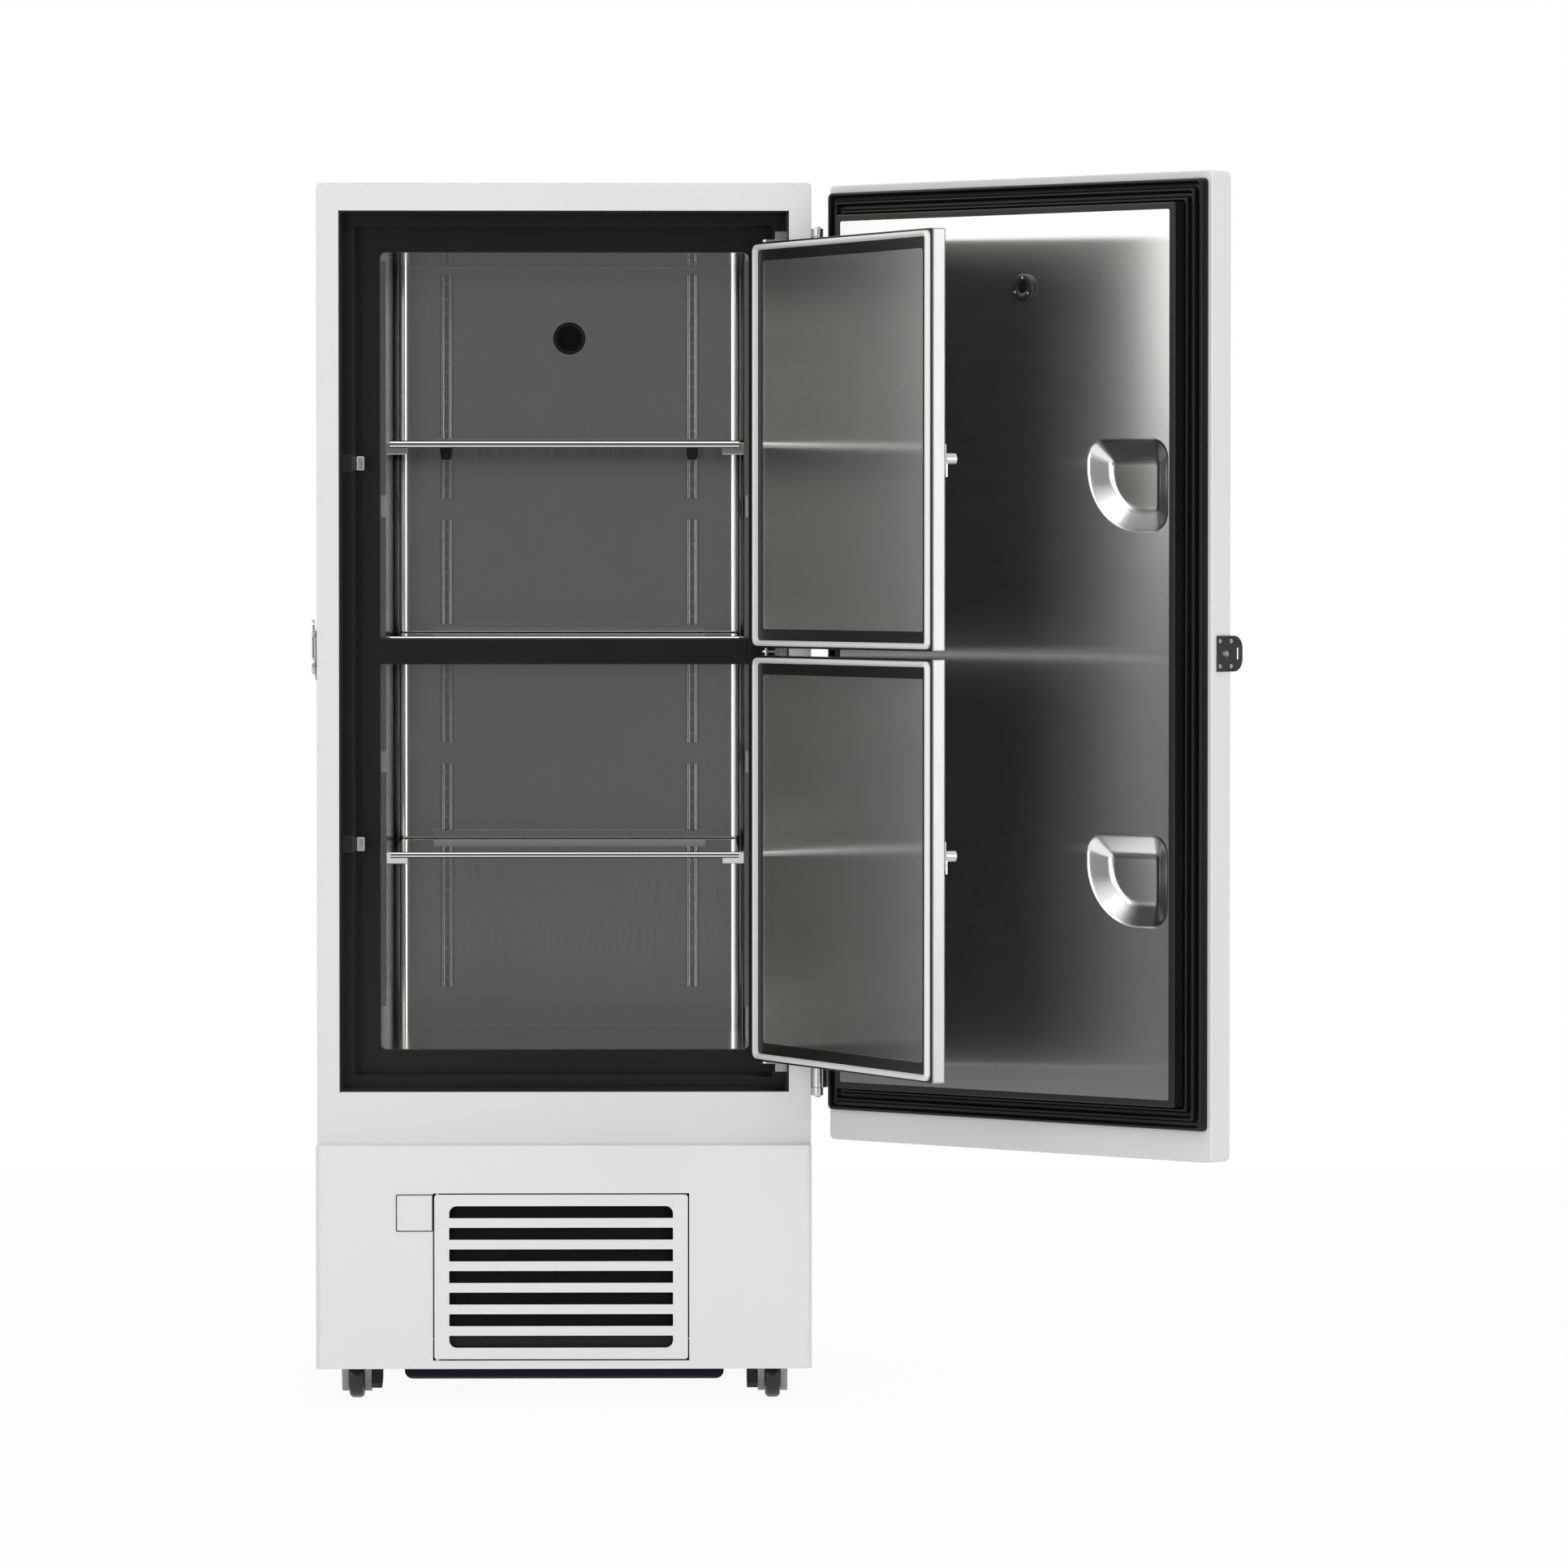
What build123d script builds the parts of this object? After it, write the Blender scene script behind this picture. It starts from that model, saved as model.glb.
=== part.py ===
from build123d import *
import math
import os

# Upright ultra low temperature freezer, shown with its outer door and both inner doors open.
# X runs to the right, Y to the back, Z up. The origin is on the floor under the cabinet's centre.
# Doors are drawn shut and then turned about their hinge axes to the rest angle.
os.makedirs("parts", exist_ok=True)

# Cabinet and base
CABINET_WIDTH = 800.0
CABINET_DEPTH = 870.0
CABINET_TOP = 1973.0
BASE_TOP = 420.0
BASE_BOTTOM = 59.0
SHEET = 1.5
CABINET_EDGE_RADIUS = 7.0
BASE_CORNER_RADIUS = 12.0
FLANGE_SIDE = 36.0
FLANGE_TOP = 45.0
FLANGE_BOTTOM = 82.0

# Stepped breaker frame behind the flange
BREAKER_WALL = 3.0
LANDING_WIDTH = 23.0
LANDING_DEPTH = 36.0
SEAT_WIDTH = 42.0
SEAT_DEPTH = 68.0
LIP_DEPTH = 14.0
MULLION_HEIGHT = 42.0
MULLION_DEPTH = 22.0

# Storage chamber
LINER_SHEET = 1.5
REAR_WALL = 95.0
CHAMBER_CORNER_RADIUS = 26.0
PANEL_JOINT = 0.5
COIL_DIAMETER = 9.5
COIL_CLEARANCE = 0.3
COIL_RUNS = 4
COIL_MARGIN = 180.0
COIL_TURN_RADIUS = 60.0
PORT_BORE = 46.0
PORT_WALL = 3.0
PORT_FLANGE = 1.5
PORT_BELOW_CEILING = 120.0
PORT_PLUG_LENGTH = 60.0

# Shelves and what carries them
SHELF_SHEET = 1.5
SHELF_SIDE_GAP = 15.0
SHELF_FRONT_GAP = 10.0
SHELF_BACK_GAP = 23.0
SHELF_LIP = 10.0
SHELF_HEM = 4.0
SHELF_UPSTAND = 14.0
SHELF_UPSTAND_INSET = 52.0
SHELF_LOWER_SHARE = 0.4954
SHELF_OVER_MULLION = 4.0
SHELF_UPPER_SHARE = 0.5278
PILASTER_WIDTH = 23.0
PILASTER_CHANNEL = 14.0
PILASTER_DEPTH = 6.0
PILASTER_SHEET = 1.5
PILASTER_TOP = 11.0
PILASTER_GAP = 35.0
PILASTER_BOTTOM = 66.0
PILASTER_COUNT = 3
REAR_PILASTER_INSET = 89.0
SIDE_PILASTER_Y = 68.0
RUNG_PITCH = 25.0
RUNG_WIDTH = 7.0
RUNG_HEIGHT = 4.0
CLIP_WIDTH = 22.0
CLIP_HEIGHT = 20.0
CLIP_TAPER = 3.0
CLIP_REACH = 36.0

# Outer door
DOOR_REST_ANGLE = 136.7
DOOR_THICKNESS = 51.0
DOOR_STANDOFF = 16.5
DOOR_GAP_LOW = 5.0
DOOR_GAP_HIGH = 5.0
DOOR_EDGE_RADIUS = 9.0
PLUG_CLEARANCE = 6.0
PLUG_RISE = 37.0
PLUG_WALL = 3.0
PLUG_BORDER = 11.0
DOOR_LINER_SHEET = 1.2
GASKET_WIDTH = 36.0
GASKET_INSET = 1.0
GASKET_BASE = 6.0
GASKET_CLEARANCE = 0.5
GASKET_RIBS = 3
GASKET_RIB_WIDTH = 7.0

# Pressed recesses that clear the inner door levers
POCKET_DEPTH = 20.0
POCKET_RUN = 33.0
POCKET_CORNER = 29.0
POCKET_SWEEP = 129.0
POCKET_DROP = 110.0
POCKET_ARC = 100.0
POCKET_FLOOR_CORNER = 6.0
POCKET_FLOOR_ARC = 60.0

# Outer hinges, lift-off pins in three knuckles
HINGE_OFFSET = 11.0
HINGE_BARREL = 18.0
HINGE_PIN = 8.0
HINGE_LENGTH = 110.0
HINGE_KNUCKLE = 13.0
HINGE_LEAF = 3.0
HINGE_LEAF_REACH = 44.0
HINGE_TOP_DROP = 74.0
HINGE_LOW_RISE = 76.0
RUNNING_CLEARANCE = 0.05
FACE_CLEARANCE = 0.3

# Door lock: strike plate and pin on the door, swinging hook on the cabinet side
STRIKE_SHEET = 3.0
STRIKE_HEIGHT = 56.0
STRIKE_CENTRE = 797.5
STRIKE_INSET = 11.0
STRIKE_TAB = 21.0
STRIKE_TAB_RADIUS = 20.0
STRIKE_SLOT_HEIGHT = 18.0
STRIKE_SLOT_WIDTH = 6.0
STRIKE_PIN = 9.0
STRIKE_PIN_INSET = 23.0
STRIKE_PIN_REACH = 9.0
HOOK_SHEET = 4.0
HOOK_GAP = 1.0
HOOK_PIVOT_BACK = 15.0
HOOK_PIVOT_DROP = 25.0
HOOK_PIVOT_PIN = 8.0
HOOK_HEAD = 15.0
HOOK_BOSS = 14.0
HOOK_NECK = 14.0
HOOK_NOTCH_CLEARANCE = 1.0
HOOK_PLATE_WIDTH = 34.0
HOOK_PLATE_MARGIN = 24.0

# Door trim
PRESSURE_PORT = 44.0
PRESSURE_PORT_BORE = 16.0
PRESSURE_PORT_RISE = 8.0
PRESSURE_PORT_X = 48.0
PRESSURE_PORT_DROP = 127.0
HANDLE_DIAMETER = 26.0
HANDLE_LENGTH = 420.0
HANDLE_STANDOFF = 48.0
HANDLE_POST = 18.0
HANDLE_POST_INSET = 40.0
HANDLE_EDGE_INSET = 62.0
HANDLE_CENTRE = 740.0
DISPLAY_WIDTH = 230.0
DISPLAY_HEIGHT = 140.0
DISPLAY_DEPTH = 6.0
DISPLAY_RADIUS = 12.0
DISPLAY_BEZEL = 14.0
DISPLAY_CENTRE = 1240.0

# Inner doors
INNER_REST_ANGLE = 114.0
INNER_DOOR_THICKNESS = 25.0
INNER_DOOR_FRONT = 34.0
INNER_GAP_HINGE = 5.0
INNER_GAP_FREE = 21.0
INNER_GAP_TOP = 27.0
INNER_GAP_BOTTOM = 25.0
INNER_GAP_MIDDLE = 12.0
INNER_AXIS_INSET = 8.0
INNER_SHEET = 1.5
INNER_FRAME = 31.0
INNER_FRAME_THICK = 2.5
INNER_GASKET_INSET = 3.5
INNER_GASKET_WIDTH = 9.0
INNER_GASKET_RADIUS = 9.0
INNER_GASKET_CLEARANCE = 1.0
INNER_PIN = 6.0
INNER_PIN_DEPTH = 14.0
BRACKET_SHEET = 4.0
BRACKET_GAP = 0.6
BRACKET_HEIGHT = 30.0
BRACKET_FOOT = 1.5

# Inner door levers and keepers
LATCH_INSET = 10.0
UPPER_LATCH_HEIGHT = 299.0
LOWER_LATCH_HEIGHT = 353.0
LATCH_BASE_SHEET = 2.0
LATCH_BASE_WIDTH = 19.0
LATCH_BASE_HEIGHT = 46.0
LATCH_BOSS = 18.0
LATCH_PIN = 8.0
LATCH_HOOK = 28.0
LATCH_HOOK_SHEET = 3.0
LATCH_ARM_WIDTH = 12.0
LATCH_HANDLE = 88.0
LATCH_HANDLE_SHEET = 7.0
LATCH_RISE = 18.0
KEEPER_HEIGHT = 22.0
KEEPER_SHEET = 3.0
KEEPER_GAP = 1.0
KEEPER_REACH = 17.0

# Base machinery
CHASSIS_HEIGHT = 105.0
CHASSIS_SHEET = 3.0
TRAY_CASTER_GAP = 80.0
TRAY_BOTTOM = 38.0
TRAY_SHEET = 2.0
TRAY_FRONT_INSET = 38.0
TRAY_BACK_INSET = 80.0
TRAY_RADIUS = 16.0
TRAY_FLANGE = 12.0
GRILLE_WIDTH = 409.0
GRILLE_HEIGHT = 266.0
GRILLE_X = -4.5
GRILLE_BOTTOM = 74.5
GRILLE_GAP = 1.5
GRILLE_SHEET = 3.0
GRILLE_DEPTH = 11.0
GRILLE_SLOTS = 7
GRILLE_SLOT_WIDTH = 361.0
GRILLE_SLOT_HEIGHT = 19.6
GRILLE_SLOT_PITCH = 34.9
GRILLE_SLOT_RADIUS = 5.0
GRILLE_PIN = 5.0
GRILLE_PIN_INSET = 5.0
GRILLE_PIN_REACH = 8.0
GRILLE_LUG_SHEET = 3.0
FILTER_THICK = 12.0
FILTER_MARGIN = 16.0
FILTER_GAP = 3.0
FILTER_BORDER = 9.0
CONDENSER_DEPTH = 60.0
CONDENSER_HEIGHT = 224.0
CONDENSER_TUBE = 10.0
CONDENSER_TUBES = 6
CONDENSER_END = 12.0
SHROUD_SHEET = 3.0
SHROUD_DUCT = 34.0
FAN_DIAMETER = 200.0
FAN_TIP_GAP = 4.0
FAN_HUB = 58.0
FAN_HUB_DEPTH = 22.0
FAN_BLADES = 5
FAN_BLADE_CHORD = 52.0
FAN_ROOT_CHORD_SHARE = 0.5
FAN_BLADE_THICK = 2.5
FAN_ROOT_PITCH = 40.0
FAN_TIP_PITCH = 24.0
FAN_SHAFT = 8.0
MOTOR_DIAMETER = 84.0
MOTOR_LENGTH = 70.0
MOTOR_ARM = 12.0
COMPRESSOR_DIAMETER = 200.0
COMPRESSOR_HEIGHT = 262.0
COMPRESSOR_SHOULDER = 60.0
COMPRESSOR_FOOT = 240.0
COMPRESSOR_FOOT_SHEET = 5.0
GROMMET_DIAMETER = 26.0
GROMMET_HEIGHT = 16.0
COMPRESSOR_BACK = 150.0
COMPRESSOR_PITCH = 270.0
CONTROL_WIDTH = 150.0
CONTROL_DEPTH = 260.0
CONTROL_HEIGHT = 220.0
CONTROL_LID = 12.0
CONTROL_FRONT = 30.0
REAR_LOUVRES = 9
REAR_LOUVRE_WIDTH = 420.0
REAR_LOUVRE_HEIGHT = 10.0
REAR_LOUVRE_PITCH = 24.0
INLET_WIDTH = 60.0
INLET_HEIGHT = 36.0
INLET_DEPTH = 26.0
INLET_WALL = 5.0
INLET_SIDE = 110.0
INLET_RISE = 60.0

# Casters
CASTER_SIDE = 62.0
CASTER_FRONT = 40.0
CASTER_BACK = 70.0
CASTER_TRAIL = 24.0
WHEEL_DIAMETER = 75.0
WHEEL_WIDTH = 25.0
WHEEL_EDGE = 6.0
WHEEL_GAP = 0.6
FORK_LEG = 11.0
FORK_COVER = 53.0
FORK_CROWN_TOP = 92.0
FORK_CROWN = 10.0
FORK_BEARING = 40.0
CASTER_PLATE_SHEET = 5.0
CASTER_PLATE = 92.0
KINGPIN = 12.0
AXLE = 10.0
PEDAL_WIDTH = 18.0
PEDAL_BOSS = 24.0
PEDAL_LENGTH = 44.0
PEDAL_DROP = 18.0
PEDAL_SHEET = 9.0

# Places that follow from the sizes above
HALF = CABINET_WIDTH / 2
FRONT = -CABINET_DEPTH / 2
BACK = CABINET_DEPTH / 2
RECESS_HALF = HALF - FLANGE_SIDE
RECESS_LOW = BASE_TOP + FLANGE_BOTTOM
RECESS_HIGH = CABINET_TOP - FLANGE_TOP
INNER_HALF = RECESS_HALF - LANDING_WIDTH
INNER_LOW = RECESS_LOW + LANDING_WIDTH
INNER_HIGH = RECESS_HIGH - LANDING_WIDTH
CHAMBER_HALF = INNER_HALF - SEAT_WIDTH
CHAMBER_LOW = INNER_LOW + SEAT_WIDTH
CHAMBER_HIGH = INNER_HIGH - SEAT_WIDTH
CHAMBER_MIDDLE = (CHAMBER_LOW + CHAMBER_HIGH) / 2
LANDING_Y = FRONT + LANDING_DEPTH
SEAT_Y = FRONT + SEAT_DEPTH
CHAMBER_FRONT = SEAT_Y + LIP_DEPTH
CHAMBER_BACK = BACK - REAR_WALL
LINER_HALF = CHAMBER_HALF + LINER_SHEET
LINER_BACK = CHAMBER_BACK + LINER_SHEET
COIL_SPACE = COIL_DIAMETER + 2 * COIL_CLEARANCE
HALF_CHAMBER = CHAMBER_MIDDLE - CHAMBER_LOW
SHELF_TOPS = (
    CHAMBER_LOW + SHELF_LOWER_SHARE * HALF_CHAMBER,
    CHAMBER_MIDDLE + MULLION_HEIGHT / 2 + SHELF_OVER_MULLION,
    CHAMBER_MIDDLE + SHELF_UPPER_SHARE * HALF_CHAMBER,
)
PILASTER_GAPS = (PILASTER_COUNT - 1) * PILASTER_GAP
PILASTER_RUN = 2 * HALF_CHAMBER - PILASTER_BOTTOM - PILASTER_TOP - PILASTER_GAPS
PILASTER_LENGTH = PILASTER_RUN / PILASTER_COUNT
SHELF_HALF = CHAMBER_HALF - SHELF_SIDE_GAP
SHELF_FRONT = CHAMBER_FRONT + SHELF_FRONT_GAP
SHELF_BACK = CHAMBER_BACK - SHELF_BACK_GAP
PORT_Z = CHAMBER_HIGH - PORT_BELOW_CEILING
DOOR_IN = FRONT - DOOR_STANDOFF
DOOR_OUT = DOOR_IN - DOOR_THICKNESS
DOOR_LOW = BASE_TOP + DOOR_GAP_LOW
DOOR_HIGH = CABINET_TOP - DOOR_GAP_HIGH
PLUG_HALF = RECESS_HALF - BREAKER_WALL - PLUG_CLEARANCE
PLUG_LOW = RECESS_LOW + BREAKER_WALL + PLUG_CLEARANCE
PLUG_HIGH = RECESS_HIGH - BREAKER_WALL - PLUG_CLEARANCE
PLUG_Y = DOOR_IN + PLUG_RISE
HINGE_X = HALF + HINGE_OFFSET
HINGE_LOWS = (BASE_TOP + HINGE_LOW_RISE, CABINET_TOP - HINGE_TOP_DROP - HINGE_LENGTH)
BASE_FRONT = DOOR_OUT
INNER_FRONT_Y = FRONT + INNER_DOOR_FRONT
INNER_BACK_Y = INNER_FRONT_Y + INNER_DOOR_THICKNESS
INNER_LEFT = INNER_GAP_FREE - INNER_HALF
INNER_RIGHT = INNER_HALF - INNER_GAP_HINGE
INNER_AXIS_X = INNER_RIGHT - INNER_AXIS_INSET
INNER_AXIS_Y = INNER_FRONT_Y + INNER_AXIS_INSET
UPPER_DOOR_LOW = CHAMBER_MIDDLE + INNER_GAP_MIDDLE / 2
UPPER_DOOR_HIGH = INNER_HIGH - INNER_GAP_TOP
LOWER_DOOR_LOW = INNER_LOW + INNER_GAP_BOTTOM
LOWER_DOOR_HIGH = CHAMBER_MIDDLE - INNER_GAP_MIDDLE / 2
LATCH_X = INNER_LEFT + LATCH_INSET
UPPER_LATCH_Z = UPPER_DOOR_LOW + UPPER_LATCH_HEIGHT
LOWER_LATCH_Z = LOWER_DOOR_LOW + LOWER_LATCH_HEIGHT
LATCH_BASE_Y = INNER_FRONT_Y - LATCH_BASE_SHEET
LATCH_BACK_Y = LATCH_BASE_Y - FACE_CLEARANCE
LATCH_HOOK_Y = LATCH_BACK_Y - LATCH_HOOK_SHEET
LATCH_TOP_Y = LATCH_BACK_Y - LATCH_RISE
STRIKE_Z = BASE_TOP + STRIKE_CENTRE
STRIKE_PIN_Y = DOOR_IN - STRIKE_PIN_INSET
HOOK_PIVOT_Y = FRONT + HOOK_PIVOT_BACK
HOOK_PIVOT_Z = STRIKE_Z - HOOK_PIVOT_DROP
HOOK_RADIUS = math.hypot(HOOK_PIVOT_Y - STRIKE_PIN_Y, HOOK_PIVOT_DROP)
HOOK_X = -HALF - STRIKE_SHEET - HOOK_GAP
CHASSIS_TOP = CHASSIS_HEIGHT + CHASSIS_SHEET
GRILLE_LEFT = GRILLE_X - GRILLE_WIDTH / 2
GRILLE_TOP = GRILLE_BOTTOM + GRILLE_HEIGHT
GRILLE_MIDDLE = (GRILLE_BOTTOM + GRILLE_TOP) / 2
GRILLE_AXIS_X = GRILLE_LEFT + GRILLE_PIN_INSET
GRILLE_AXIS_Y = BASE_FRONT + GRILLE_PIN_INSET
FILTER_Y = BASE_FRONT + GRILLE_DEPTH + FILTER_GAP
CONDENSER_Y = FILTER_Y + FILTER_THICK
CONDENSER_HALF = GRILLE_WIDTH / 2 - FILTER_MARGIN
SHROUD_Y = CONDENSER_Y + CONDENSER_DEPTH
FAN_Z = CHASSIS_TOP + CONDENSER_HEIGHT / 2
FAN_Y = SHROUD_Y + SHROUD_DUCT / 2
MOTOR_Y = FAN_Y + FAN_HUB_DEPTH / 2 + FAN_TIP_GAP
CASTER_X = HALF - CASTER_SIDE
INLET_X = HALF - INLET_SIDE
WHEEL_RADIUS = WHEEL_DIAMETER / 2
FORK_IN = WHEEL_WIDTH / 2 + WHEEL_GAP
FORK_OUT = FORK_IN + FORK_LEG

# Rest places: still for the cabinet, turned about a vertical axis for the doors
STILL = Location((0, 0, 0))


def turned(x, y, angle):
    """Place of a door that is drawn shut and opened by an angle about a vertical axis."""
    return Location((x, y, 0), (0, 0, angle)) * Location((-x, -y, 0))


DOOR = turned(HINGE_X, FRONT, DOOR_REST_ANGLE)
INNER = turned(INNER_AXIS_X, INNER_AXIS_Y, INNER_REST_ANGLE)


def front(y, place=STILL):
    """Sketch plane that faces the front at depth y, with X and Z as its axes."""
    return Plane(place * Plane.XZ.offset(-y).location)


def side(x, place=STILL):
    """Sketch plane that faces right at x, with Y and Z as its axes."""
    return Plane(place * Plane.YZ.offset(x).location)


def level(z, place=STILL):
    """Sketch plane that faces up at height z, with X and Y as its axes."""
    return Plane(place * Plane.XY.offset(z).location)


def slab(x, y, z, place=STILL, mode=Mode.ADD):
    """Straight block between pairs of limits along X, Y and Z."""
    centre = Location((sum(x) / 2, sum(y) / 2, sum(z) / 2))
    with Locations(place * centre):
        Box(x[1] - x[0], y[1] - y[0], z[1] - z[0], mode=mode)


def disc(plane, centre, diameter, length, mode=Mode.ADD):
    """Round bar from a point of a plane, along the plane's normal."""
    with BuildSketch(plane) as outline:
        with Locations(centre):
            Circle(diameter / 2)
    extrude(outline.sketch, amount=length, mode=mode)


def ring(plane, outer, inner, length, radius=0.0):
    """Rectangular ring; outer and inner hold the limits along both axes of the plane."""
    with BuildSketch(plane) as outline:
        for limits, mode in ((outer, Mode.ADD), (inner, Mode.SUBTRACT)):
            (left, right), (low, high) = limits
            with Locations(((left + right) / 2, (low + high) / 2)):
                if radius:
                    RectangleRounded(right - left, high - low, radius, mode=mode)
                else:
                    Rectangle(right - left, high - low, mode=mode)
    extrude(outline.sketch, amount=length)


def grown(limits, amount):
    """A pair of limits moved apart by an amount at each end."""
    return limits[0] - amount, limits[1] + amount


def save(piece, name):
    """Label a finished piece and write its file."""
    piece.part.label = name
    export_step(piece.part, f"parts/{name}.step")


# Cabinet shell: folded sheet with a front flange, open at the back and at the bottom
with BuildPart() as cabinet_shell:
    with BuildSketch(front(FRONT)) as shell_outline:
        with Locations((0, (BASE_TOP + CABINET_TOP) / 2)):
            Rectangle(CABINET_WIDTH, CABINET_TOP - BASE_TOP)
        fillet(shell_outline.vertices().group_by(Axis.Y)[-1], CABINET_EDGE_RADIUS)
    extrude(amount=-CABINET_DEPTH)
    with BuildSketch(front(FRONT + SHEET)) as shell_hollow:
        with Locations((0, (BASE_TOP + CABINET_TOP - SHEET) / 2)):
            Rectangle(CABINET_WIDTH - 2 * SHEET, CABINET_TOP - SHEET - BASE_TOP)
        fillet(shell_hollow.vertices().group_by(Axis.Y)[-1], CABINET_EDGE_RADIUS - SHEET)
    extrude(amount=-CABINET_DEPTH, mode=Mode.SUBTRACT)
    mouth_x = (-RECESS_HALF, RECESS_HALF)
    slab(mouth_x, (FRONT, FRONT + SHEET), (RECESS_LOW, RECESS_HIGH), mode=Mode.SUBTRACT)
save(cabinet_shell, "cabinet_shell")

# Back panel with the hole for the access port
with BuildPart() as cabinet_back_panel:
    back_high = CABINET_TOP - CABINET_EDGE_RADIUS
    slab((SHEET - HALF, HALF - SHEET), (BACK - SHEET, BACK), (BASE_TOP, back_high))
    disc(front(BACK), (0, PORT_Z), PORT_BORE + 2 * PORT_WALL, SHEET, Mode.SUBTRACT)
save(cabinet_back_panel, "cabinet_back_panel")

# Insulation: five panels with narrow joints between them, set off the liner where the coil runs
with BuildPart() as insulation_panels:
    panel_in = LINER_HALF + COIL_SPACE
    panel_out = HALF - SHEET
    panel_y = (CHAMBER_FRONT, BACK - SHEET)
    panel_z = (BASE_TOP, CABINET_TOP - CABINET_EDGE_RADIUS)
    between = (PANEL_JOINT - panel_in, panel_in - PANEL_JOINT)
    floor_z = CHAMBER_LOW - LINER_SHEET
    ceiling_z = CHAMBER_HIGH + LINER_SHEET
    slab((-panel_out, -panel_in), panel_y, panel_z)
    slab((panel_in, panel_out), panel_y, panel_z)
    slab(between, panel_y, (panel_z[0], floor_z))
    slab(between, panel_y, (ceiling_z, panel_z[1]))
    back_y = (LINER_BACK + COIL_SPACE, panel_y[1])
    slab(between, back_y, (floor_z + PANEL_JOINT, ceiling_z - PANEL_JOINT))
    disc(front(BACK), (0, PORT_Z), PORT_BORE + 2 * PORT_WALL, CABINET_DEPTH / 4, Mode.SUBTRACT)
save(insulation_panels, "insulation_panels")

# Chamber liner: bent sheet with large rear corners, open at the front
with BuildPart() as inner_liner:
    for half, back, sheet, mode in (
        (LINER_HALF, LINER_BACK, LINER_SHEET, Mode.ADD),
        (CHAMBER_HALF, CHAMBER_BACK, 0.0, Mode.SUBTRACT),
    ):
        with BuildSketch(level(CHAMBER_LOW - sheet)) as liner_plan:
            with Locations((0, (CHAMBER_FRONT + back) / 2)):
                Rectangle(2 * half, back - CHAMBER_FRONT)
            fillet(liner_plan.vertices().group_by(Axis.Y)[-1], CHAMBER_CORNER_RADIUS + sheet)
        extrude(amount=CHAMBER_HIGH - CHAMBER_LOW + 2 * sheet, mode=mode)
    disc(front(LINER_BACK), (0, PORT_Z), PORT_BORE + 2 * PORT_WALL, LINER_SHEET, Mode.SUBTRACT)
save(inner_liner, "inner_liner")

# Breaker frame: two steps from the flange to the chamber, each with its own depth
with BuildPart() as breaker_frame:
    steps = (
        (0, FRONT, LANDING_Y, BREAKER_WALL),
        (LANDING_WIDTH, LANDING_Y, SEAT_Y, BREAKER_WALL),
        (LANDING_WIDTH + SEAT_WIDTH, SEAT_Y, CHAMBER_FRONT, 0.0),
    )
    for inset, step_front, step_back, floor in steps:
        wall = BREAKER_WALL if inset else 0.0
        step_half = RECESS_HALF - inset + wall
        step_z = (RECESS_LOW + inset - wall, RECESS_HIGH - inset + wall)
        slab((-step_half, step_half), (step_front, step_back + floor), step_z)
    for inset, step_front, step_back, floor in steps:
        wall = 0.0 if inset else BREAKER_WALL
        step_half = RECESS_HALF - inset - wall
        step_z = (RECESS_LOW + inset + wall, RECESS_HIGH - inset - wall)
        slab((-step_half, step_half), (step_front, step_back), step_z, mode=Mode.SUBTRACT)
save(breaker_frame, "breaker_frame")

# Mullion: channel across the opening that both inner door seals close on
with BuildPart() as mullion:
    mullion_z = (CHAMBER_MIDDLE - MULLION_HEIGHT / 2, CHAMBER_MIDDLE + MULLION_HEIGHT / 2)
    mullion_y = (SEAT_Y, SEAT_Y + MULLION_DEPTH)
    slab((-CHAMBER_HALF, CHAMBER_HALF), mullion_y, mullion_z)
    hollow_y = (SEAT_Y + BREAKER_WALL, mullion_y[1])
    slab((-CHAMBER_HALF, CHAMBER_HALF), hollow_y, grown(mullion_z, -BREAKER_WALL), mode=Mode.SUBTRACT)
save(mullion, "mullion")


def pilaster(plane, across, bottom):
    """Slotted channel with two wings, open to the chamber; the plane lies on the wall."""
    middle = (across, bottom + PILASTER_LENGTH / 2)
    with BuildSketch(plane) as web:
        with Locations(middle):
            Rectangle(PILASTER_WIDTH, PILASTER_LENGTH)
    extrude(web.sketch, amount=PILASTER_SHEET)
    with BuildSketch(plane) as flanges:
        with Locations(middle):
            Rectangle(PILASTER_CHANNEL, PILASTER_LENGTH)
            Rectangle(PILASTER_CHANNEL - 2 * PILASTER_SHEET, PILASTER_LENGTH, mode=Mode.SUBTRACT)
    extrude(flanges.sketch, amount=PILASTER_DEPTH)
    rungs = int(PILASTER_LENGTH / RUNG_PITCH)
    with BuildSketch(plane) as slots:
        with Locations(middle):
            with GridLocations(RUNG_PITCH, RUNG_PITCH, 1, rungs):
                Rectangle(RUNG_WIDTH, RUNG_HEIGHT)
    extrude(slots.sketch, amount=PILASTER_DEPTH, mode=Mode.SUBTRACT)


# Wall planes that carry the shelf pilasters, with the place of each pilaster across them
left_wall = Plane((-CHAMBER_HALF, 0, 0), x_dir=(0, 1, 0), z_dir=(1, 0, 0))
right_wall = Plane((CHAMBER_HALF, 0, 0), x_dir=(0, -1, 0), z_dir=(-1, 0, 0))
back_wall = front(CHAMBER_BACK)
side_y = CHAMBER_FRONT + SIDE_PILASTER_Y
pilaster_places = (
    (back_wall, REAR_PILASTER_INSET - CHAMBER_HALF),
    (back_wall, CHAMBER_HALF - REAR_PILASTER_INSET),
    (left_wall, side_y),
    (right_wall, -side_y),
)
with BuildPart() as pilasters:
    for wall_plane, across in pilaster_places:
        for index in range(PILASTER_COUNT):
            rise = PILASTER_BOTTOM + index * (PILASTER_LENGTH + PILASTER_GAP)
            pilaster(wall_plane, across, CHAMBER_LOW + rise)
save(pilasters, "pilasters")

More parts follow.
